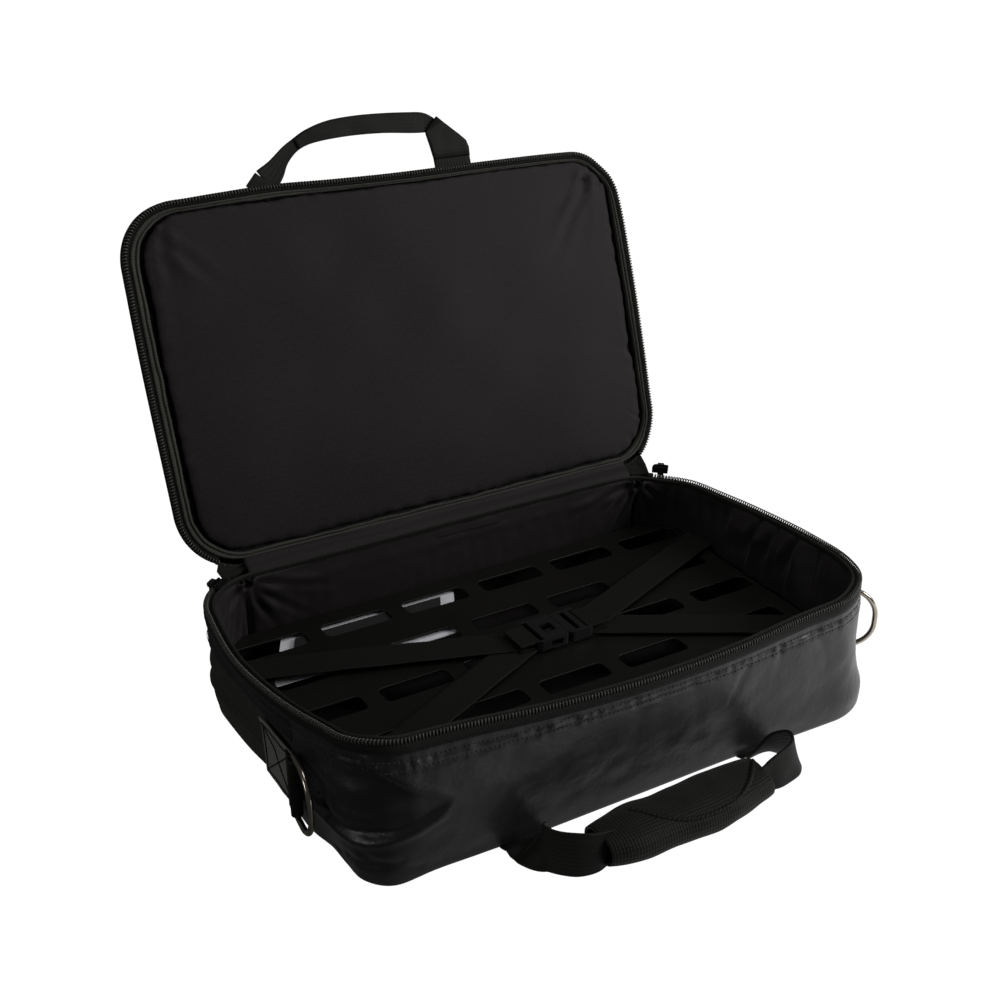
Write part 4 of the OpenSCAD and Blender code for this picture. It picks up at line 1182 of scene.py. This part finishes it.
def lid_padding():
    """Padded lining panel, drawn in at its edge and slightly crowned."""
    s = ALL_S
    rows = []
    profile = [
        (20.5, 112.5), (18.6, 111.2), (17.8, 109.8), (17.6, 108.6), (18.2, 107.8), (19.6, 107.2),
        (21.8, 106.9), (25.0, 106.7),
    ]
    # Notches where the slack edge tucks under, most of them round the corners
    corner = np.abs(np.prod(outline(s)[1], axis=-1)) * 2
    tuck = folds(np.stack([s, 0 * s], -1), 15, 43, 20)
    notch = np.clip(folds(np.stack([s, 0 * s], -1), 26, 44, 20) - 0.8, 0, 1.6) * (0.6 + 2.4 * corner)
    wobble = 1.1 * folds(np.stack([s, 0 * s], -1), 90, 45)
    for inset, z in profile:
        shrink = bell(inset, 18.5, 4)
        drawn = lid_in(s, inset) + shrink * (0.4 * tuck + wobble) + 2.4 * notch * bell(inset, 18.5, 3)
        rows.append(lid_at(s, drawn, z + 0.3 * tuck * bell(inset, 20, 3) + 0.8 * notch * bell(inset, 22, 4)))
    edge = outline(s, lid_in(s, 25.0))[0]
    # Creases that fan out from both front corners, each with its depth
    right, left = (204, -122), (-208, -122)
    creases = (
        (right, (105, -104), 1.3), (right, (118, -72), 1.5),
        (right, (150, -42), 1.6), (right, (176, -20), 1.2),
        (left, (-150, -112), 1.0), (left, (-168, -84), 1.3),
        (left, (-196, -60), 1.5), (left, (-206, -20), 1.0),
    )
    for k in (0.975, 0.94, 0.89, 0.82, 0.74, 0.65, 0.55, 0.45, 0.35, 0.25, 0.15, 0.07, 0.0):
        flat = to_spine(edge, k)
        crown = 106.7 - 0.7 * (1 - k**3) + 0.45 * folds(flat, 110, 47) * (1 - k**8)
        crown = crown + 0.5 * notch * bell(k, 1, 0.05)
        for corner_at, end, deep in creases:
            away, share = to_line(flat[:, 0], flat[:, 1], corner_at, end)
            crown = crown + deep * (1 - share) * (bell(away, 0, 3 + 4 * share) - 0.6 * bell(away, 9, 4))
        rows.append(open_lid(np.concatenate([flat, crown[:, None]], 1)))
    made = cloth_grid("lid_lining_pad", rows, closed=True, flip=True, flat_map=True)
    weld(made)
    thicken(made, 0.6)
    dress(made, LINING, "lid", ["lid_lining"])
    return made


lid_padding()


def hinge_band(name, section, material, thick, ripple, rise=0.0, flip=False, replaced=()):
    """Cloth across the hinge along a (y, z) section from the base to the lid, and its flat size.

    Ripple is its folds' depth, size and seed; rise is the share of them that goes up."""
    x = np.linspace(-MID_X - 4, MID_X + 4, 150)
    path = spread(section, 1.6)
    X, Y, Z = section_grid(x, path)
    lift = ripple[0] * folds(np.stack([X, Z], -1), *ripple[1:])
    made = cloth_grid(name, np.stack([X, Y + lift, Z + lift * rise], -1), flip=flip)
    thicken(made, thick)
    made.data.materials.append(material)
    made = plain_mesh(made)
    if replaced:
        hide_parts(*replaced)
    return made, (x[-1] - x[0], np.linalg.norm(np.diff(path, axis=0), axis=1).sum())


def hinge_cloth():
    """Lining that runs over the fold between base and lid, and the outer strip behind it."""
    lid_edge, lid_deep, lid_back = open_lid(
        np.array([[0, HALF_D - 7, 106.0], [0, HALF_D - 9.5, 109.5], [0, HALF_D, 112.0]])
    )[:, 1:]
    section = [(HALF_D - 9.0, 90.0), (HALF_D - 7.0, 98.0), (HALF_D - 3.0, 103.5), (HALF_D + 3.5, 107.0)]
    inner, flat = hinge_band(
        "hinge_lining", [*section, tuple(lid_edge), tuple(lid_deep)], LINING, 0.6, (0.5, 60, 51),
        rise=0.5, flip=True,
    )
    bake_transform(inner)
    section = [(HALF_D + 1.2, 82.0), (HALF_D + 1.2, 94.0), (HALF_D + 2.2, 100.0), (HALF_D + 6.0, 103.5)]
    outer, flat = hinge_band(
        "hinge_strip_cloth", [*section, tuple(lid_back)], BAND, 0.8, (0.4, 50, 53),
        replaced=["hinge_strip"],
    )
    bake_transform(outer)


hinge_cloth()


def hinge_gusset(side, name):
    """Dark folded cloth at a zip end that joins the base's rim to the lid's."""
    back = S_BACK if side > 0 else S_BACK_END
    end = back - side * (QUARTER - ZIP_END_S)
    s = np.linspace(end, back + side * 5, 22)
    low, rim = base_at(s, -0.6, 97.0), base_at(s, -1.2, 102.0)
    lid_rim_edge, high = lid_at(s, -0.4, 107.2), lid_at(s, -0.8, 112.5)
    middle = (rim + lid_rim_edge) / 2 + np.array([side * 2.0, 1.5, 0])
    knots = np.stack([low, rim, middle, lid_rim_edge, high])
    t = np.linspace(0, 4, 17)
    runs = [[np.interp(t, np.arange(5), knots[:, k, a]) for a in range(3)] for k in range(len(s))]
    rows = np.stack(runs).transpose(2, 0, 1)
    rows = rows + 0.7 * folds(rows, 12, 111)[..., None] * np.array([side * 0.6, 0.8, 0.0])
    made = cloth_grid(name, rows, flip=side < 0)
    thicken(made, 0.9, 0.0)
    made.data.materials.append(TAPE)
    made = plain_mesh(made)
    edge = lid_at(np.array([back]), 0.0, 108.0)[0]
    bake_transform(made)


hinge_gusset(1, "right_gusset")
hinge_gusset(-1, "left_gusset")

# ---------- board ----------

# Slot length, width and corner radius; row and column pitch; the odd rows' end slots
SLOT = (60.0, 20.0, 5.0)
PITCH_X, PITCH_Y, END_X = 76.0, 55.0, 180.0


def board_sheet():
    """Sheet with 28 slots, its edges broken."""
    w, d = BOARD_HI[0] - BOARD_LO[0], BOARD_HI[1] - BOARD_LO[1]
    loops = [round_rect(w, d, 24, steps=14)]
    even = [i * PITCH_X for i in (-2.5, -1.5, -0.5, 0.5, 1.5, 2.5)]
    for k in range(-2, 3):
        xs = even if k % 2 == 0 else [-END_X, -PITCH_X, 0, PITCH_X, END_X]
        loops += [round_rect(SLOT[0], SLOT[1], SLOT[2], x, k * PITCH_Y) for x in xs]
    made = block("board_sheet", loops, BOARD_LO[2], BOARD_HI[2], 0.45, 3)
    return dress(made, POWDER, "board", ["board_plate"])


board_sheet()
for node, material in {
    "board_edge": POWDER, "board_feet": RUBBER, "board_screws": BLACK_STEEL, "spare_hook_pad": HOOK,
    "spare_pad_liner": LINER, "buckle_socket": ACETAL, "buckle_plug": ACETAL, "left_slider": GUNMETAL,
    "right_slider": GUNMETAL, "left_pull": GUNMETAL, "right_pull": GUNMETAL,
}.items():
    solid = frame["nodes"][node]
    solid.data.materials.clear()
    solid.data.materials.append(material)

# ---------- straps ----------


# The straps leave the end walls at this x and meet the buckle at this y
WALL_X, BUCKLE_Y = 229.0, 6.0
# Each strap's end wall, its y and z there, the x where it meets the buckle, and its seed
STRAPS = {
    "front_left": (-1, -99.5, 52.2, -8.5, 61), "back_left": (-1, 81.0, 53.9, -8.5, 62),
    "front_right": (1, -99.0, 52.2, 48.5, 63), "back_right": (1, 80.0, 53.9, 48.5, 64),
}


def strap_line(side, y, stop_x):
    """Start and stop of a strap, its way along and its way across."""
    start, stop = np.array([side * WALL_X, y]), np.array([stop_x, BUCKLE_Y])
    run = unit(stop - start)
    return start, stop, run, np.array([-run[1], run[0]])


def tie_strap(name, side, y, z, stop_x, seed):
    """Flat tie-down strap from an end wall to the buckle."""
    start, stop, _, across = strap_line(side, y, stop_x)
    stations = []
    for t in np.linspace(0, 1, 12):
        place = start + (stop - start) * t
        stations.append((*place, z + 0.7 + 0.5 * math.sin(math.pi * t), *across, 0))
    made = ribbon(f"strap_{name}_webbing", stations, 29.0, 1.2, ripple=0.18, seed=seed)
    return dress(made, WEBBING, "base", [f"strap_{name}"])


def strap_root(name, side, y, z, stop_x):
    """End of a strap where it goes down into the wall's seam."""
    start, _, run, across = strap_line(side, y, stop_x)
    stations = []
    for back, drop in ((0, 0.2), (-4, 0.0), (-6.5, -1.5), (-7.6, -4.5), (-7.8, -9)):
        stations.append((*(start + run * 2 + run * back), z + 0.7 + drop, *across, 0))
    made = ribbon(f"strap_root_{name}", stations, 29.4, 1.4, spacing=1.5)
    return dress(made, WEBBING, "base", ["strap_anchors"] if name == "front_left" else ())


for strap, line in STRAPS.items():
    tie_strap(strap, *line)
for strap, line in STRAPS.items():
    strap_root(strap, *line[:4])


def buckle_loop(node, name, body):
    """Webbing sewn round the bar at one end of the buckle."""
    lo, hi = box_mm(node)
    middle, side = (lo + hi) / 2, math.copysign(1, (lo + hi)[0] / 2 - 20)
    long, high = hi[0] - lo[0], hi[2] - lo[2]
    turn = np.linspace(-0.5, 0.5, 12) * math.pi
    radius = high / 2 - 0.7
    inner = middle[0] - side * (long / 2 - high / 2)
    path = [(middle[0] + side * (long / 2 - 0.5), middle[2] + radius)]
    path += [(inner - side * radius * math.cos(a), middle[2] + radius * math.sin(a)) for a in turn[::-1]]
    path += [(middle[0] + side * (long / 2 - 0.5), middle[2] - radius)]
    stations = [(x, middle[1], z, 0, 1, 0) for x, z in path]
    made = ribbon(name, stations, hi[1] - lo[1], 1.2, spacing=0.8, across=7)
    return dress(made, WEBBING, body, [node])


buckle_loop("strap_loop_left", "buckle_loop_left", "board")
buckle_loop("strap_loop_right", "buckle_loop_right", "buckle_plug")


def zip_stop(name, s):
    """Tape folded over and sewn shut at a zip end."""
    at = np.linspace(s - 3.4, s + 3.4, 8)
    turn = np.linspace(-0.15, 1.15, 12) * math.pi
    rise = COIL_HI[2] - RIM_Z + 0.2
    rows = np.stack([
        base_at(at, COIL_IN - 2.5 * math.cos(a), RIM_Z + 0.6 + rise * math.sin(a)) for a in turn
    ])
    made = cloth_grid(name, rows, flip=True)
    thicken(made, 0.7)
    return dress(made, TAPE, "base", ["zip_end_stops"] if s > 0 else ())


zip_stop("zip_stop_right", ZIP_S[-1])
zip_stop("zip_stop_left", ZIP_S[0])

# ---------- carrying rings ----------


def d_ring(joint, name):
    """Bent wire ring: a bar along z, two legs and a round crown."""
    found = next(j for j in frame["joints"] if j["name"] == joint + "_swing")
    pivot = np.array(found["pos_m"]) / MM
    node = joint.replace("ring", "d_ring")
    lo, hi = box_mm(node)
    side = math.copysign(1, pivot[0])
    wire, half, deep, bend = 2.3, 27.3, 36.0, 24.0
    # The crown's way, from how far the ring's box reaches past its bar
    sideways = (hi[0] - pivot[0] if side > 0 else pivot[0] - lo[0]) - wire
    turn = math.asin(min(1.0, sideways / deep))
    crown = np.array([side * math.sin(turn), -math.cos(turn)])
    bar = half - wire
    flat = [(0, -bar), (0, bar)]
    flat += [(wire * (1 - math.cos(a)), bar + wire * math.sin(a)) for a in np.radians([30, 60, 90])]
    flat += [(t, half) for t in np.linspace(5, deep - bend, 3)]
    quarter = np.radians(np.linspace(10, 90, 9))
    flat += [(deep - bend + bend * math.sin(a), half - bend + bend * math.cos(a)) for a in quarter]
    flat += [(deep, z) for z in np.linspace(half - bend - 1, bend - half + 1, 3)]
    quarter = np.radians(np.linspace(0, 90, 10))
    flat += [(deep - bend + bend * math.cos(a), bend - half - bend * math.sin(a)) for a in quarter]
    flat += [(t, -half) for t in np.linspace(deep - bend - 3, wire, 3)]
    flat += [(wire * (1 - math.sin(a)), -half + wire * (1 - math.cos(a))) for a in np.radians([30, 60])]
    # The slack loop lets the right ring stand a little further out
    slack = np.array([3.2 * crown[0], 3.2 * crown[1], 2.0]) if side > 0 else np.zeros(3)
    points = [pivot + slack + np.array([crown[0] * u, crown[1] * u, z]) for u, z in flat]
    made = tube(name, points, wire, closed=True, sides=5)
    return dress(made, NICKEL, joint, [node])


d_ring("left_ring", "left_carry_ring")
d_ring("right_ring", "right_carry_ring")


PATCH_LONG = 60.0


def ring_patch(joint):
    """Grey patch sewn flat on the wall with a boxed cross, and the dark loop round the ring's bar."""
    found = next(j for j in frame["joints"] if j["name"] == joint + "_swing")
    pivot = np.array(found["pos_m"]) / MM
    side = math.copysign(1, pivot[0])
    middle = S_FRONT_RIGHT + MID_Y if side > 0 else S_BACK_LEFT + MID_Y
    low, high = pivot[2] - 24.7, pivot[2] + 24.7

    def on_wall(y, z, proud):
        y, z = np.broadcast_arrays(np.asarray(y, float), np.asarray(z, float))
        s = middle + side * y
        lean = loop_value(s, RIM_LEAN) * step(z, 50, 106) + loop_value(s, WAIST_LEAN) * bell(z, 52, 28)
        return np.stack([side * (HALF_W + 2.6 + proud + np.maximum(lean, -1)), y, z], -1)

    back = pivot[1] + PATCH_LONG
    y, z = np.meshgrid(np.linspace(pivot[1] + 5, back, 26), np.linspace(low, high, 22))
    rows = on_wall(y, z, 1.6 + 0.25 * folds(np.stack([y, z], -1), 26, 101))
    made = cloth_grid(joint + "_patch", rows, flip=side < 0)
    thicken(made, 1.6)
    dress(made, PATCH, "base", [joint + "_tab"])
    z = np.linspace(low, high, 14)
    tail = [(side * (HALF_W + 2.6), pivot[1] + 4), (side * (HALF_W + 2.0), pivot[1] + 12)]
    head = [(side * (HALF_W + 5.4), pivot[1] + 13), (side * (HALF_W + 6.6), pivot[1] + 6)]
    round_bar = [
        (pivot[0] + side * 3.9 * math.cos(a), pivot[1] + 3.9 * math.sin(a))
        for a in np.radians(np.arange(80, -200, -14))
    ]
    path = np.array(head + round_bar + tail)
    rows = np.stack([np.concatenate([path, np.full((len(path), 1), h)], 1) for h in z])
    made = cloth_grid(joint + "_loop", rows, flip=side > 0)
    thicken(made, 1.4, 0.0)
    dress(made, WEBBING, "base")
    paths = []
    a, b, c, d = pivot[1] + 9, back - 4, low + 4, high - 4
    box = (((a, c), (b, c)), ((b, c), (b, d)), ((b, d), (a, d)), ((a, d), (a, c)))
    for start, stop in (*box, ((a, c), (b, d)), ((a, d), (b, c))):
        t = np.linspace(0, 1, 30)
        y, z = start[0] + (stop[0] - start[0]) * t, start[1] + (stop[1] - start[1]) * t
        paths.append((on_wall(y, z, 1.8 + 0.25 * folds(np.stack([y, z], -1), 26, 101)), (side, 0, 0)))
    row(joint + "_stitches", DARK_STITCH_TREE, paths, (3.0, 2.8, 0.9, 0.7), "base", "webbing")


ring_patch("left_ring")
ring_patch("right_ring")

# ---------- handles ----------

HANDLE_Y, HANDLE_Z = -156.4, 113.2


def base_handle():
    """Webbing that twists on to its edge, and a soft grip with a wrapped flap and piping."""
    lo, hi = box_mm("base_handle_grip")
    middle = (lo + hi) / 2
    y, z = middle[1], middle[2]
    left = [
        (-108, -156.5, 3.2, 1, 0, 0, 36), (-107.5, -164, 5, 0.93, 0.05, 0.3, 36),
        (-110, -172, 12.5, 0.7, 0.06, 0.7, 35), (-110, -185, 18, 0.15, 0.05, 1, 35),
        (-103, -196, 18.3, 0.12, 0.05, 1, 35), (-93, y - 4, 18.3, 0.15, 0.05, 1, 35),
        (-80, y - 7, 17.5, 0.1, 0.05, 1, 33), (-68, y - 4, z, 0.05, 0.05, 1, 28), (-52, y, z, 0, 0, 1, 20),
    ]
    right = [
        (108, -156.5, 3.2, 1, 0, 0, 36), (111, -164, 7, 0.9, 0, -0.4, 36),
        (117, -172, 14, 0.55, -0.05, -0.8, 35), (119, -183, 18, 0.3, -0.1, -0.95, 35),
        (113, -192, 19, 0.2, -0.13, -0.97, 34), (102, y + 3, 19, 0.1, -0.12, -0.97, 33),
        (89, y, 18.6, 0.05, -0.1, -1, 30), (76, y + 1, z + 0.5, 0, 0, -1, 25), (58, y, z, 0, 0, -1, 20),
    ]
    for name, x in (("handle_root_left", -108), ("handle_root_right", 108)):
        sewn = ((-148.5, 0.9), (-152, 1.3), (-155, 2.4), (-157.4, 3.2))
        ends = [(x, y_end, z_end, 1, 0, 0) for y_end, z_end in sewn]
        made = ribbon(name, ends, 36.0, 1.8, spacing=1.6)
        dress(made, WEBBING, "base", ["base_handle_anchors"] if x < 0 else ())
    for name, stations, seed in (("handle_webbing_left", left, 71), ("handle_webbing_right", right, 72)):
        made = ribbon(name, stations, 34.0, 2.4, spacing=2.4, across=13, ripple=0.5, seed=seed)
        dress(made, WEBBING, "base_handle", ["base_handle_webbing"] if seed == 71 else ())
    wide, high = 22.5, 12.9

    def skin(x, a, grow=0.0):
        """Point of the grip's skin at x and angle a from its front edge upwards."""
        end = np.abs(x) / 76
        slim = (1 - 0.3 * end**4) * (1 + 0.03 * np.sin(x / 11))
        y = -(wide * slim + grow) * np.cos(a)
        z = (high * slim + grow) * np.sign(np.sin(a)) * np.abs(np.sin(a)) ** 0.85
        y = middle[1] + y + 2.2 * (x / 76) ** 2 + 4 * step(x, 10, 76) - 2 * step(-x, 30, 70)
        return np.stack([x + 0 * a, y, middle[2] + z], -1)

    along = np.linspace(-74, 74, 90)
    around = np.linspace(0, 2 * math.pi, 56, endpoint=False)
    X, A = np.meshgrid(along, around, indexing="ij")
    rows = skin(X, A)
    rows += 0.45 * folds(rows, 26, 81)[..., None] * unit(rows - rows.mean(1, keepdims=True))
    rows[..., 2] = np.maximum(rows[..., 2], 2.4)
    made = cloth_grid("handle_grip", rows, closed=True)
    thicken(made, 2.2)
    dress(made, GRIP, "base_handle", ["base_handle_grip"])
    # Flap: laid over the top from behind, its front edge a long curve with piping
    edge_x = np.linspace(-43, 73, 80)
    reach = math.radians(34) + math.radians(74) * np.abs((edge_x - 15) / 58) ** 2.8
    X, T = np.meshgrid(edge_x, np.linspace(0, 1, 22), indexing="ij")
    A = reach[:, None] + T * (math.radians(186) - reach[:, None])
    rows = skin(X, A, 1.2)
    rows += 0.35 * folds(rows, 30, 83)[..., None] * np.array([0, 0, 1.0])
    made = cloth_grid("handle_flap", rows, flip=True)
    thicken(made, 1.4)
    dress(made, GRIP, "base_handle", ["grip_wrap"])
    line = skin(edge_x, reach, 1.7)
    cord = spread(line, 1.0)
    way = unit(np.gradient(cord, axis=0))
    side = unit(np.cross(way, [0, 0, 1.0]))
    up = np.cross(side, way)
    angle = np.linspace(0, 2 * math.pi, 14, endpoint=False)
    far = np.arange(len(cord)) * 1.0
    twist = 1.9 + 0.42 * np.cos(2 * (angle[None] - 2 * math.pi * far[:, None] / 7.5))
    round_cord = np.cos(angle)[None, :, None] * side[:, None] + np.sin(angle)[None, :, None] * up[:, None]
    rows = cord[:, None] + twist[..., None] * round_cord
    made = cloth_grid("handle_piping", rows, closed=True, flip=True)
    dress(made, WEBBING, "base_handle")


base_handle()


def lid_handle():
    """Flat webbing handle on the lid's edge, folded in half where the hand holds it."""

    def stations(points):
        """Stations from (x, reach beyond the lid, lift, width), the band lying in its own plane."""
        points = np.array(points, float)
        plane = np.stack([points[:, 0], HANDLE_Y - points[:, 1], HANDLE_Z + points[:, 2]], -1)
        way = unit(np.gradient(plane, axis=0))
        side = np.cross(way, [0, 0, 1.0])
        placed = open_lid(plane)
        turned = open_lid(plane + side) - placed
        return np.concatenate([placed, turned, points[:, 3:]], 1)

    shift = (box_mm("lid_handle")[0][0] + box_mm("lid_handle")[1][0]) / 2
    band = [
        (-89, -1.2, 0, 22), (-84, 2, 0.2, 21), (-78, 7, 0.5, 18), (-71.5, 14, 0.8, 13.5),
        (-64, 20.5, 0.9, 11.5), (-55, 26, 0.9, 10.5), (-42.5, 31, 0.7, 12.5), (-23.5, 34.5, 0.4, 15.5),
        (0, 35.7, 0.2, 16.5), (27, 35, 0.3, 17), (54, 32.8, 0.8, 18), (67, 31.5, 1.4, 17),
        (77, 28.5, 1.6, 11), (84, 24.5, 1.4, 4),
    ]
    path = stations([(x + shift, r, h, w) for x, r, h, w in band])
    made = ribbon("lid_handle_band", path, 19.0, 1.6, spacing=2.4, ripple=0.2, seed=91)
    dress(made, WEBBING, "lid_handle", ["lid_handle"])
    half = [(-55, 25.6, -1.0, 9), (-42.5, 30.5, -1.3, 11), (-23.5, 34, -1.4, 14), (0, 35.2, -1.5, 15.5),
            (27, 34.5, -1.4, 16), (54, 32.3, -1.0, 16.5), (66, 31, -0.8, 14)]
    path = stations([(x + shift, r, h, w) for x, r, h, w in half])
    made = ribbon("lid_handle_fold", path, 18.0, 1.6, spacing=2.4, ripple=0.2, seed=92)
    dress(made, WEBBING, "lid_handle")
    # Right leg: flat, its top turned over along a slanting fold
    edges = [((70, -1.5), (106, -1.5)), ((69, 6), (106.5, 6)), ((68, 12), (105, 12)), ((67.4, 16), (99, 18)),
             ((67, 19), (92, 24)), ((66.6, 21.5), (85.5, 30)), ((66.4, 23), (79.5, 35.5))]
    rows = []
    for (xa, ra), (xb, rb) in edges:
        t = np.linspace(0, 1, 15)
        reach = HANDLE_Y - ra - (rb - ra) * t
        plane = np.stack([shift + xa + (xb - xa) * t, reach, HANDLE_Z - 0.8 + 0 * t], -1)
        plane[:, 2] += 0.25 * folds(plane[:, :2], 22, 93)
        rows.append(open_lid(plane))
    made = cloth_grid("lid_handle_leg", rows)
    thicken(made, 1.6, 0.0)
    dress(made, WEBBING, "lid_handle")
    # Ends sewn in behind the lid's zip tape, which the handle folds from
    for name, start, stop in (("lid_handle_root_left", (-98, -11, -0.4, 23), (-88, -0.6, 0, 22)),
                              ("lid_handle_root_right", (88, -12, -0.6, 36), (88, -0.8, -0.4, 36))):
        ends = np.linspace(start, stop, 5)
        path = stations([(x + shift, r, h, w) for x, r, h, w in ends])
        made = ribbon(name, path, 30.0, 1.8, spacing=2.0, seed=94)
        dress(made, WEBBING, "lid", ["lid_handle_anchors"] if "left" in name else ())


lid_handle()
